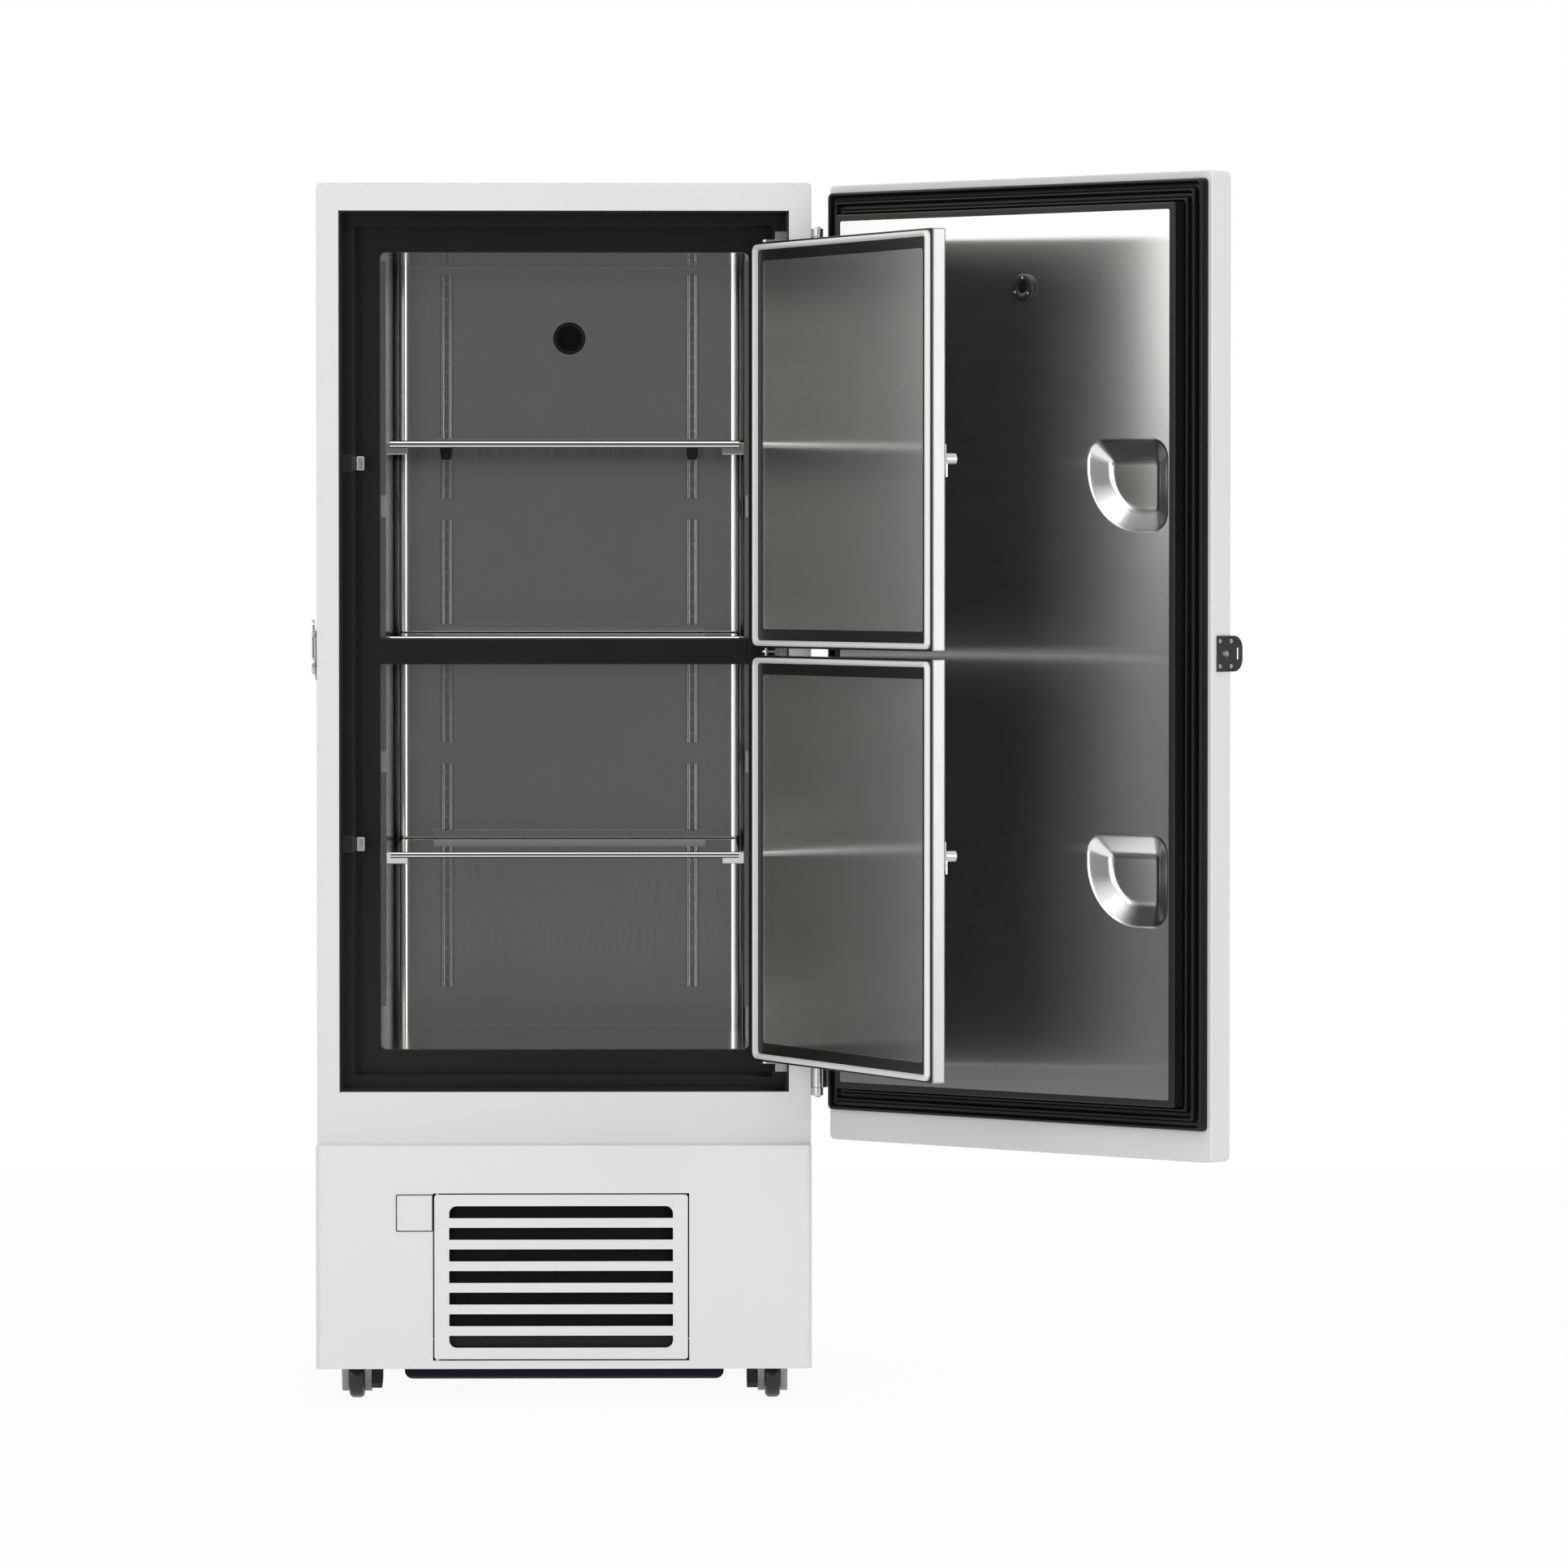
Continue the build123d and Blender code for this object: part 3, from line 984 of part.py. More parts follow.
# Chassis plate across the base, with a swivel plate and a kingpin for each caster
caster_rows = (FRONT + CASTER_FRONT, BACK - CASTER_BACK)
caster_places = [(x, y) for y in caster_rows for x in (-CASTER_X, CASTER_X)]
with BuildPart() as base_chassis:
    chassis_x = (SHEET - HALF, HALF - SHEET)
    chassis_y = (FILTER_Y, BACK - SHEET)
    slab(chassis_x, chassis_y, (CHASSIS_HEIGHT, CHASSIS_TOP))
    plate_low = CHASSIS_HEIGHT - CASTER_PLATE_SHEET
    for caster_x, caster_y in caster_places:
        plate_x = grown((caster_x, caster_x), CASTER_PLATE / 2)
        slab(plate_x, grown((caster_y, caster_y), CASTER_PLATE / 2), (plate_low, CHASSIS_HEIGHT))
        pin_low = FORK_CROWN_TOP - FORK_CROWN
        disc(level(pin_low), (caster_x, caster_y), KINGPIN, plate_low - pin_low)
save(base_chassis, "base_chassis")

# Drip tray that hangs under the chassis
with BuildPart() as drip_tray:
    tray_half = CASTER_X - TRAY_CASTER_GAP
    tray_x = (-tray_half, tray_half)
    tray_y = (BASE_FRONT + TRAY_FRONT_INSET, BACK - TRAY_BACK_INSET)
    for wall, mode in ((0.0, Mode.ADD), (TRAY_SHEET, Mode.SUBTRACT)):
        with BuildSketch(front(tray_y[0] + wall)) as tray_section:
            low = TRAY_BOTTOM + wall
            with Locations((0, (low + CHASSIS_HEIGHT) / 2)):
                Rectangle(2 * tray_half - 2 * wall, CHASSIS_HEIGHT - low)
            fillet(tray_section.vertices().group_by(Axis.Y)[0], TRAY_RADIUS - wall)
        extrude(amount=tray_y[0] - tray_y[1] + 2 * wall, mode=mode)
    flange_limits = (grown(tray_x, TRAY_FLANGE), grown(tray_y, TRAY_FLANGE))
    ring(level(CHASSIS_HEIGHT - TRAY_SHEET), flange_limits, (tray_x, tray_y), TRAY_SHEET)
save(drip_tray, "drip_tray")

# Dust filter: frame and mat behind the grille
with BuildPart() as dust_filter:
    filter_x = (GRILLE_X - CONDENSER_HALF, GRILLE_X + CONDENSER_HALF)
    filter_z = (CHASSIS_TOP, CHASSIS_TOP + CONDENSER_HEIGHT)
    slab(filter_x, (FILTER_Y, CONDENSER_Y), filter_z)
    mat = (grown(filter_x, -FILTER_BORDER), grown(filter_z, -FILTER_BORDER))
    slab(mat[0], (FILTER_Y, FILTER_Y + FILTER_GAP), mat[1], mode=Mode.SUBTRACT)
save(dust_filter, "dust_filter")

# Condenser: fin block between end plates, with the return bends of its tubes
with BuildPart() as condenser:
    core_x = grown(filter_x, -CONDENSER_END)
    condenser_y = (CONDENSER_Y, SHROUD_Y)
    slab(core_x, condenser_y, grown(filter_z, -FILTER_BORDER))
    for end_x in (core_x[0] - SHEET, core_x[1]):
        slab((end_x, end_x + SHEET), condenser_y, filter_z)
    tube_pitch = CONDENSER_HEIGHT / (CONDENSER_TUBES + 1)
    tube_y = (CONDENSER_Y + SHROUD_Y) / 2
    for tube in range(CONDENSER_TUBES):
        tube_z = CHASSIS_TOP + tube_pitch * (tube + 1)
        stub_length = CONDENSER_END - SHEET
        disc(side(core_x[1] + SHEET), (tube_y, tube_z), CONDENSER_TUBE, stub_length)
        disc(side(core_x[0] - SHEET), (tube_y, tube_z), CONDENSER_TUBE, -stub_length)
save(condenser, "condenser")

# Fan shroud with its round duct and the motor it carries
with BuildPart() as fan_shroud:
    slab(filter_x, (SHROUD_Y, SHROUD_Y + SHROUD_SHEET), filter_z)
    duct_bore = FAN_DIAMETER + 2 * FAN_TIP_GAP
    disc(front(SHROUD_Y), (GRILLE_X, FAN_Z), duct_bore + 2 * SHROUD_SHEET, -SHROUD_DUCT)
    disc(front(SHROUD_Y), (GRILLE_X, FAN_Z), duct_bore, -SHROUD_DUCT, Mode.SUBTRACT)
    # Motor can on a flat arm across the duct, and the shaft that carries the fan
    disc(front(MOTOR_Y), (GRILLE_X, FAN_Z), MOTOR_DIAMETER, -MOTOR_LENGTH)
    duct_end = SHROUD_Y + SHROUD_DUCT
    arm_half = duct_bore / 2 + SHROUD_SHEET
    arm_z = (FAN_Z - MOTOR_ARM / 2, FAN_Z + MOTOR_ARM / 2)
    slab((GRILLE_X - arm_half, GRILLE_X + arm_half), (duct_end, duct_end + SHROUD_SHEET), arm_z)
    disc(front(MOTOR_Y), (GRILLE_X, FAN_Z), FAN_SHAFT, FAN_HUB_DEPTH)
save(fan_shroud, "fan_shroud")

# Fan: hub with twisted blades
with BuildPart() as fan_blades:
    disc(front(FAN_Y + FAN_HUB_DEPTH / 2), (GRILLE_X, FAN_Z), FAN_HUB, FAN_HUB_DEPTH)
    for blade in range(FAN_BLADES):
        turn_angle = 360 / FAN_BLADES * blade
        sections = []
        root_radius = FAN_HUB / 2 - FAN_TIP_GAP
        tip_radius = FAN_DIAMETER / 2 - FAN_TIP_GAP
        spoke = Location((GRILLE_X, FAN_Y, FAN_Z), (0, turn_angle, 0))
        for radius, pitch in ((root_radius, FAN_ROOT_PITCH), (tip_radius, FAN_TIP_PITCH)):
            spot = spoke * Location((0, 0, radius), (0, 0, pitch))
            with BuildSketch(Plane(spot)) as section:
                Rectangle(FAN_BLADE_CHORD * (radius / FAN_DIAMETER + FAN_ROOT_CHORD_SHARE), FAN_BLADE_THICK)
            sections.append(section.sketch)
        loft(sections)
    shaft_bore = FAN_SHAFT + 2 * RUNNING_CLEARANCE
    disc(front(FAN_Y + FAN_HUB_DEPTH / 2), (GRILLE_X, FAN_Z), shaft_bore, FAN_HUB_DEPTH, Mode.SUBTRACT)
save(fan_blades, "fan_blades")

# Compressors of the two cascade stages: domed cans on a foot plate and four grommets
with BuildPart() as compressors:
    foot_low = CHASSIS_TOP + GROMMET_HEIGHT
    for stage in range(2):
        stage_y = BACK - COMPRESSOR_BACK - (1 - stage) * COMPRESSOR_PITCH
        can_low = foot_low + COMPRESSOR_FOOT_SHEET
        disc(level(can_low), (0, stage_y), COMPRESSOR_DIAMETER, COMPRESSOR_HEIGHT)
        can_tops = compressors.edges().filter_by(GeomType.CIRCLE).group_by(Axis.Z)[-1]
        fillet(can_tops.sort_by(Axis.Y)[-1], COMPRESSOR_SHOULDER)
        half_foot = COMPRESSOR_FOOT / 2
        foot_y = grown((stage_y, stage_y), half_foot)
        slab((-half_foot, half_foot), foot_y, (foot_low, can_low))
        grommet_pitch = COMPRESSOR_FOOT - GROMMET_DIAMETER
        with BuildSketch(level(CHASSIS_TOP)):
            with Locations((0, stage_y)):
                with GridLocations(grommet_pitch, grommet_pitch, 2, 2):
                    Circle(GROMMET_DIAMETER / 2)
        extrude(amount=GROMMET_HEIGHT)
save(compressors, "compressors")

# Control box with its lid, at the right of the condenser
with BuildPart() as control_box:
    control_right = HALF - SHEET - BASE_CORNER_RADIUS
    control_x = (control_right - CONTROL_WIDTH, control_right)
    control_y = (FRONT + CONTROL_FRONT, FRONT + CONTROL_FRONT + CONTROL_DEPTH)
    control_z = (CHASSIS_TOP, CHASSIS_TOP + CONTROL_HEIGHT)
    slab(control_x, control_y, control_z)
    lid_z = (control_z[1], control_z[1] + CONTROL_LID)
    slab(grown(control_x, SHEET), grown(control_y, SHEET), lid_z)
save(control_box, "control_box")

# Rear panel of the base, with louvres and the opening for the power inlet
with BuildPart() as base_rear_panel:
    slab((SHEET - HALF, HALF - SHEET), (BACK - SHEET, BACK), (BASE_BOTTOM, BASE_TOP - SHEET))
    with BuildSketch(front(BACK)):
        with Locations((0, (CHASSIS_TOP + BASE_TOP) / 2)):
            with GridLocations(REAR_LOUVRE_PITCH, REAR_LOUVRE_PITCH, 1, REAR_LOUVRES):
                Rectangle(REAR_LOUVRE_WIDTH, REAR_LOUVRE_HEIGHT)
        with Locations((INLET_X, CHASSIS_TOP + INLET_RISE)):
            Rectangle(INLET_WIDTH, INLET_HEIGHT, mode=Mode.ADD)
    extrude(amount=SHEET, mode=Mode.SUBTRACT)
save(base_rear_panel, "base_rear_panel")

# Power inlet set in the rear panel
with BuildPart() as power_inlet:
    inlet_x = grown((INLET_X, INLET_X), INLET_WIDTH / 2)
    inlet_z = grown((CHASSIS_TOP + INLET_RISE, CHASSIS_TOP + INLET_RISE), INLET_HEIGHT / 2)
    slab(inlet_x, (BACK - INLET_DEPTH, BACK), inlet_z)
    socket_y = (BACK - INLET_DEPTH + INLET_WALL, BACK)
    slab(grown(inlet_x, -INLET_WALL), socket_y, grown(inlet_z, -INLET_WALL), mode=Mode.SUBTRACT)
save(power_inlet, "power_inlet")


def caster_fork(name, x, y, inward, braked):
    """Swivel fork: bearing, crown, two covered legs and the axle."""
    axle_y = y + CASTER_TRAIL
    with BuildPart() as fork:
        crown_low = FORK_CROWN_TOP - FORK_CROWN
        bearing_top = CHASSIS_HEIGHT - CASTER_PLATE_SHEET - FACE_CLEARANCE
        disc(level(FORK_CROWN_TOP), (x, y), FORK_BEARING, bearing_top - FORK_CROWN_TOP)
        crown_y = (y - FORK_BEARING / 2, axle_y)
        slab(grown((x, x), FORK_OUT), crown_y, (crown_low, FORK_CROWN_TOP))
        for leg_x in (x - FORK_OUT, x + FORK_IN):
            with BuildSketch(side(leg_x)):
                with BuildLine():
                    Polyline(
                        (crown_y[0], FORK_CROWN_TOP),
                        (crown_y[1], FORK_CROWN_TOP),
                        (axle_y + FORK_COVER / 2, WHEEL_RADIUS),
                        (axle_y - FORK_COVER / 2, WHEEL_RADIUS),
                        close=True,
                    )
                make_face()
                with Locations((axle_y, WHEEL_RADIUS)):
                    Circle(FORK_COVER / 2)
            extrude(amount=FORK_LEG)
        disc(side(x - FORK_OUT), (axle_y, WHEEL_RADIUS), AXLE, 2 * FORK_OUT)
        if braked:
            disc(side(x + inward * FORK_OUT), (axle_y, WHEEL_RADIUS), AXLE, inward * PEDAL_WIDTH)
        kingpin_bore = KINGPIN + 2 * RUNNING_CLEARANCE
        disc(level(crown_low), (x, y), kingpin_bore, CHASSIS_HEIGHT - crown_low, Mode.SUBTRACT)
    save(fork, f"{name}_fork")


def caster_wheel(name, x, y):
    """Wheel with a rounded tread, free on its axle."""
    with BuildPart() as wheel:
        wheel_plane = side(x - WHEEL_WIDTH / 2)
        wheel_centre = (y + CASTER_TRAIL, WHEEL_RADIUS)
        disc(wheel_plane, wheel_centre, WHEEL_DIAMETER, WHEEL_WIDTH)
        fillet(wheel.edges().filter_by(GeomType.CIRCLE), WHEEL_EDGE)
        disc(wheel_plane, wheel_centre, AXLE + 2 * RUNNING_CLEARANCE, WHEEL_WIDTH, Mode.SUBTRACT)
    save(wheel, f"{name}_wheel")


def brake_pedal(name, x, y, inward):
    """Foot pedal that turns on the axle's inner end and points to the front."""
    axle_y = y + CASTER_TRAIL
    start = x + inward * (FORK_OUT + FACE_CLEARANCE)
    with BuildPart() as pedal:
        with BuildSketch(side(start)):
            with Locations((axle_y, WHEEL_RADIUS)):
                Circle(PEDAL_BOSS / 2)
            with BuildLine():
                boss = PEDAL_BOSS / 2
                tip = axle_y - PEDAL_LENGTH
                Polyline(
                    (axle_y, WHEEL_RADIUS + boss),
                    (tip, WHEEL_RADIUS - PEDAL_DROP + PEDAL_SHEET),
                    (tip, WHEEL_RADIUS - PEDAL_DROP),
                    (axle_y, WHEEL_RADIUS - boss),
                    close=True,
                )
            make_face()
            with Locations((axle_y, WHEEL_RADIUS)):
                Circle(AXLE / 2 + RUNNING_CLEARANCE, mode=Mode.SUBTRACT)
        extrude(amount=inward * (PEDAL_WIDTH - FACE_CLEARANCE))
    save(pedal, f"{name}_brake")


caster_names = ("front_left", "front_right", "rear_left", "rear_right")
for caster_name, (caster_x, caster_y) in zip(caster_names, caster_places):
    inward_way = -1 if caster_x > 0 else 1
    is_braked = caster_name.startswith("front")
    caster_fork(f"{caster_name}_caster", caster_x, caster_y, inward_way, is_braked)
    caster_wheel(f"{caster_name}_caster", caster_x, caster_y)
    if is_braked:
        brake_pedal(f"{caster_name}_caster", caster_x, caster_y, inward_way)
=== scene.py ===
import logging
import math
from dataclasses import dataclass
from enum import Enum
from typing import Callable, Iterable, Optional, Sequence, Union

import bmesh
import bpy
from mathutils import Matrix, Vector


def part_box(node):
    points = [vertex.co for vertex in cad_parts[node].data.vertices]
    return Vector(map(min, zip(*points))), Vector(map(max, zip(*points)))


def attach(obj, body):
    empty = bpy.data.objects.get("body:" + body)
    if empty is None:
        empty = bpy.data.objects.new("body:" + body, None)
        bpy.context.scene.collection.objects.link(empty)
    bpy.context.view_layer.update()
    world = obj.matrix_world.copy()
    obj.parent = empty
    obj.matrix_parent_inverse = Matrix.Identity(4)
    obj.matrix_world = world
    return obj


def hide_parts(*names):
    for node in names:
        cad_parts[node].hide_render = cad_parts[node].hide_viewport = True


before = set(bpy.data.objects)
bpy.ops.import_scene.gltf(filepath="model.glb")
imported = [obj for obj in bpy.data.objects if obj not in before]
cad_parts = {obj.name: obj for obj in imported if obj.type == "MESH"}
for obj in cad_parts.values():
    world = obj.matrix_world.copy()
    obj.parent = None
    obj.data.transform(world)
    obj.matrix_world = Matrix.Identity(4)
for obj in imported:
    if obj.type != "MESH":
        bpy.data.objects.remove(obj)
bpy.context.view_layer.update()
log = logging.getLogger("freezer")

Pair = tuple[float, float]
Point = tuple[float, float, float]
Colour = tuple[float, float, float]
Outline = tuple[Pair, ...]
Edges = list[bmesh.types.BMEdge]
Test = Callable[[Vector, Vector], bool]

# Sizes that several sub-assemblies share, in millimetres
MM = 0.001
FRONT = -435.0
BACK = 435.0
HALF = 400.0
OUT = FRONT - 67.5
LEVER_X = -310.0
LEVER_Z = (1520.0, 903.0)
OUTER_HINGE = (411.0, FRONT)
INNER_HINGE = (328.0, FRONT + 42.0)

# How far the doors stand open, in degrees
OUTER_OPEN = 136.7
INNER_OPEN = 114.0

# Directions, and the limits of the tests that pick edges and faces by place and direction
LEFT = (-1.0, 0.0, 0.0)
RIGHT = (1.0, 0.0, 0.0)
FORWARD = (0.0, -1.0, 0.0)
REARWARD = (0.0, 1.0, 0.0)
UP = (0.0, 0.0, 1.0)
SIDES = (-1.0, 1.0)
NEAR = 0.1
ALONG = 0.9
ACROSS = 0.1
SQUARE = 60.0

# Angles under which edges are shaded round, in degrees
CRISP = 24.0
PRESSED = 25.0
ROUND = 32.0
ROLLED = 40.0
RIBBED = 50.0
BULGED = 60.0


class Slot(Enum):
    """Finishes that the pieces of the freezer take."""

    WHITE_PAINT = "white_paint"
    BASE_PAINT = "base_paint"
    GRILLE = "grille_plastic"
    BREAKER = "black_breaker"
    RUBBER = "black_rubber"
    SEAL = "white_seal"
    STAINLESS = "stainless"
    CLIP = "black_clip"
    BRIGHT = "bright_steel"
    DARK = "dark_steel"
    PORT = "port_plastic"
    FOAM = "foam"
    COPPER = "copper"
    DISPLAY = "display_black"
    HANDLE = "handle_grey"
    TRAY = "tray_navy"
    GALVANISED = "galvanised"
    FINS = "fin_aluminium"
    FILTER = "filter_black"
    FAN = "fan_black"
    COMPRESSOR = "compressor_black"
    CASTER = "caster_grey"
    TYRE = "tyre_black"


class Value:
    """A shader socket that takes part in Python sums."""

    def __init__(self, recipe: "Recipe", socket: bpy.types.NodeSocket) -> None:
        """Keep the socket and the recipe it belongs to."""
        self.recipe = recipe
        self.socket = socket

    def _math(self, operation: str, first: "Term", second: "Term") -> "Value":
        """Add one Math node for two terms."""
        return self.recipe.node("ShaderNodeMath", {"operation": operation}, {0: first, 1: second})

    def __add__(self, other: "Term") -> "Value":
        """Sum of this socket and a term."""
        return self._math("ADD", self, other)

    def __sub__(self, other: "Term") -> "Value":
        """This socket less a term."""
        return self._math("SUBTRACT", self, other)

    def __rsub__(self, other: "Term") -> "Value":
        """A term less this socket."""
        return self._math("SUBTRACT", other, self)

    def __mul__(self, other: "Term") -> "Value":
        """Product of this socket and a term."""
        return self._math("MULTIPLY", self, other)

    def __gt__(self, other: "Term") -> "Value":
        """One where this socket is over a term, else nought."""
        return self._math("GREATER_THAN", self, other)

    def peak(self, other: "Term") -> "Value":
        """The greater of this socket and a term."""
        return self._math("MAXIMUM", self, other)

    __radd__ = __add__
    __rmul__ = __mul__


Term = Union[Value, float]


class Recipe:
    """The nodes of one material, ending in its principled shader, or of a world."""

    def __init__(self, name: str, tree: Optional[bpy.types.NodeTree] = None) -> None:
        """Start a material, or go on with the nodes of a world.

        Args:
            name: Name of the material.
            tree: Nodes of the world.
        """
        if tree is None:
            self.material = bpy.data.materials.new(name)
            self.material.use_nodes = True
            tree = self.material.node_tree
            self.shader = tree.nodes["Principled BSDF"]
        self.tree = tree

    def feed(self, socket: bpy.types.NodeSocket, value: object) -> None:
        """Set a socket's own value, or link it.

        Args:
            socket: Input of a node.
            value: What it takes.
        """
        if isinstance(value, Value):
            self.tree.links.new(value.socket, socket)
        else:
            socket.default_value = value

    def node(self, kind: str, settings: Optional[dict] = None, inputs: Optional[dict] = None,
             output: Union[int, str] = 0) -> Value:
        """Add any node.

        Args:
            kind: The node's type.
            settings: Its properties, which are set first.
            inputs: Values or links of its sockets, by name or number.
            output: The socket to go on from.

        Returns:
            The chosen output.
        """
        made = self.tree.nodes.new(kind)
        for key, value in (settings or {}).items():
            setattr(made, key, value)
        for key, value in (inputs or {}).items():
            self.feed(made.inputs[key], value)
        return Value(self, made.outputs[output])

    def coords(self, stretch: Point = (1.0, 1.0, 1.0)) -> Value:
        """Object coordinates, stretched along the axes."""
        place = self.node("ShaderNodeTexCoord", output="Object")
        return self.node("ShaderNodeMapping", None, {"Vector": place, "Scale": stretch})

    def noise(self, scale: float, detail: float = 3.0, stretch: Point = (1.0, 1.0, 1.0)) -> Value:
        """Soft cloud pattern between nought and one.

        Args:
            scale: Features per metre.
            detail: Octaves.
            stretch: Factor along each axis.

        Returns:
            The pattern.
        """
        inputs = {"Vector": self.coords(stretch), "Scale": scale, "Detail": detail}
        return self.node("ShaderNodeTexNoise", None, inputs)

    def cells(self, scale: float, output: str) -> Value:
        """Pattern of cells, so many to the metre, by its colours or by its distances."""
        return self.node("ShaderNodeTexVoronoi", None, {"Vector": self.coords(), "Scale": scale}, output)

    def tint(self, low: Colour, high: Colour, factor: Term) -> Value:
        """Colour between two colours.

        Args:
            low: Colour at nought.
            high: Colour at one.
            factor: Where to be between them.

        Returns:
            The mixed colour.
        """
        inputs = {0: factor, 6: (*low, 1.0), 7: (*high, 1.0)}
        return self.node("ShaderNodeMix", {"data_type": "RGBA"}, inputs, 2)

    def bump(self, height: Term, strength: float, distance: float) -> Value:
        """Normal that follows a height, distance being in millimetres."""
        inputs = {"Height": height, "Strength": strength, "Distance": distance * MM}
        return self.node("ShaderNodeBump", None, inputs)

    def ease(self, along: Value, low: float, high: float, top: float) -> Value:
        """Smooth rise from nought.

        Args:
            along: What it goes by.
            low: Where it starts.
            high: Where it ends.
            top: Level that it reaches.

        Returns:
            The level.
        """
        inputs = {0: along, 1: low, 2: high, 3: 0.0, 4: top}
        return self.node("ShaderNodeMapRange", {"interpolation_type": "SMOOTHSTEP"}, inputs)

    def rays(self, *kinds: str) -> Value:
        """One for light rays of those kinds, else nought."""
        found = [self.node("ShaderNodeLightPath", output=f"Is {kind} Ray") for kind in kinds]
        return sum(found[1:], found[0])

    def close(self, **sockets: object) -> bpy.types.Material:
        """Feed the shader.

        Args:
            sockets: Values or links of its inputs, by name.

        Returns:
            The material.
        """
        for key, value in sockets.items():
            self.feed(self.shader.inputs[key.replace("_", " ")], value)
        return self.material


def shade(colour: Colour, factor: float) -> Colour:
    """A colour made lighter or darker."""
    return tuple(min(1.0, part * factor) for part in colour)


@dataclass(frozen=True)
class Finish:
    """A surface with a colour and a gloss."""

    name: str
    colour: Colour
    roughness: float = 0.4

    def mix(self, recipe: Recipe) -> bpy.types.Material:
        """Lay the nodes; each kind of finish has its own."""
        raise NotImplementedError

    def material(self) -> bpy.types.Material:
        """The material, made once; the solids' own plain materials have the bare slot names."""
        title = f"{self.name}_finish"
        return bpy.data.materials.get(title) or self.mix(Recipe(title))

    def spread(self, recipe: Recipe, low: float, high: float, factor: Term) -> Value:
        """Colour between two shades of the finish's own."""
        return recipe.tint(shade(self.colour, low), shade(self.colour, high), factor)

    def gloss(self, *patterns: tuple[Value, float]) -> Term:
        """Roughness that patterns raise and lower about its middle.

        Args:
            patterns: Each pattern, with the span of its effect.

        Returns:
            The roughness.
        """
        total: Term = self.roughness
        for pattern, span in patterns:
            total = total + span * (pattern - 0.5)
        return total


@dataclass(frozen=True)
class Paint(Finish):
    """Powder coat with a fine orange peel and faint handling marks."""

    peel: float = 0.12
    soil: float = 0.03
    peel_depth: float = 0.25
    wiped: float = 0.14
    speckled: float = 0.05

    def mix(self, recipe: Recipe) -> bpy.types.Material:
        """Peel in the bump, wiped patches in the gloss, soil in the colour."""
        cloud = recipe.noise(scale=2.3, detail=4.0)
        wipe = recipe.noise(scale=9.0, detail=5.0, stretch=(1.0, 1.0, 0.35))
        grain = recipe.noise(scale=620.0, detail=2.0)
        return recipe.close(Base_Color=self.spread(recipe, 1.0 - self.soil, 1.0 + self.soil / 2, cloud),
                            Roughness=self.gloss((wipe, self.wiped), (grain, self.speckled)),
                            Normal=recipe.bump(grain, self.peel, self.peel_depth))


@dataclass(frozen=True)
class Steel(Finish):
    """Rolled sheet steel with a fine grain along one direction and wide soft clouds."""

    grain: Point = (1.0, 1.0, 0.02)
    wave: float = 0.0
    brushed: float = 0.0
    vary: float = 1.0
    wave_height: float = 20.0
    shades: Pair = (-0.07, 0.05)
    colour_shares: Pair = (0.6, 0.4)
    gloss_shares: Pair = (0.5, 0.8)

    def mix(self, recipe: Recipe) -> bpy.types.Material:
        """Grain and clouds in colour and gloss, slow waves in the sheet."""
        cloud = recipe.noise(scale=3.1, detail=4.0, stretch=(1.0, 1.0, 0.5))
        streak = recipe.noise(scale=520.0, detail=3.0, stretch=self.grain)
        slow = recipe.noise(scale=1.7, detail=1.0)
        low, high = (1.0 + self.vary * part for part in self.shades)
        clouded, streaked = self.gloss_shares
        uneven = streaked * streak + clouded * cloud - sum(self.gloss_shares) / 2
        factor = cloud * self.colour_shares[0] + streak * self.colour_shares[1]
        return recipe.close(Base_Color=self.spread(recipe, low, high, factor),
                            Roughness=self.roughness * (1.0 + self.vary * uneven), Metallic=1.0,
                            Anisotropic=self.brushed, Normal=recipe.bump(slow, self.wave, self.wave_height))


@dataclass(frozen=True)
class Plating(Finish):
    """Zinc plate with a crystal-like spangle."""

    spangle: float = 90.0
    shades: Pair = (0.86, 1.08)
    mottled: float = 0.12
    speckled: float = 0.06

    def mix(self, recipe: Recipe) -> bpy.types.Material:
        """Spangle in colour and gloss."""
        level = recipe.node("ShaderNodeSeparateColor", None, {0: recipe.cells(self.spangle, "Color")})
        fine = recipe.noise(scale=700.0, detail=2.0)
        return recipe.close(Base_Color=self.spread(recipe, *self.shades, level),
                            Roughness=self.gloss((level, self.mottled), (fine, self.speckled)), Metallic=1.0,
                            Normal=recipe.bump(fine, strength=0.08, distance=0.06))


@dataclass(frozen=True)
class Plastic(Finish):
    """Moulded plastic with a fine spark-eroded grain."""

    texture: float = 900.0
    depth: float = 0.15
    dust: float = 0.05
    shine: float = 0.5
    dust_grey: float = 0.5
    wiped: float = 0.16
    speckled: float = 0.05

    def mix(self, recipe: Recipe) -> bpy.types.Material:
        """Grain in the bump, dust and wiped patches over it."""
        grain = recipe.noise(self.texture, detail=2.0)
        cloud = recipe.noise(scale=5.0, detail=5.0)
        dusty = tuple(part + self.dust * (self.dust_grey - part) for part in self.colour)
        return recipe.close(Base_Color=recipe.tint(self.colour, dusty, cloud * cloud),
                            Roughness=self.gloss((cloud, self.wiped), (grain, self.speckled)),
                            Specular_IOR_Level=self.shine,
                            Normal=recipe.bump(grain, self.depth, distance=0.2))


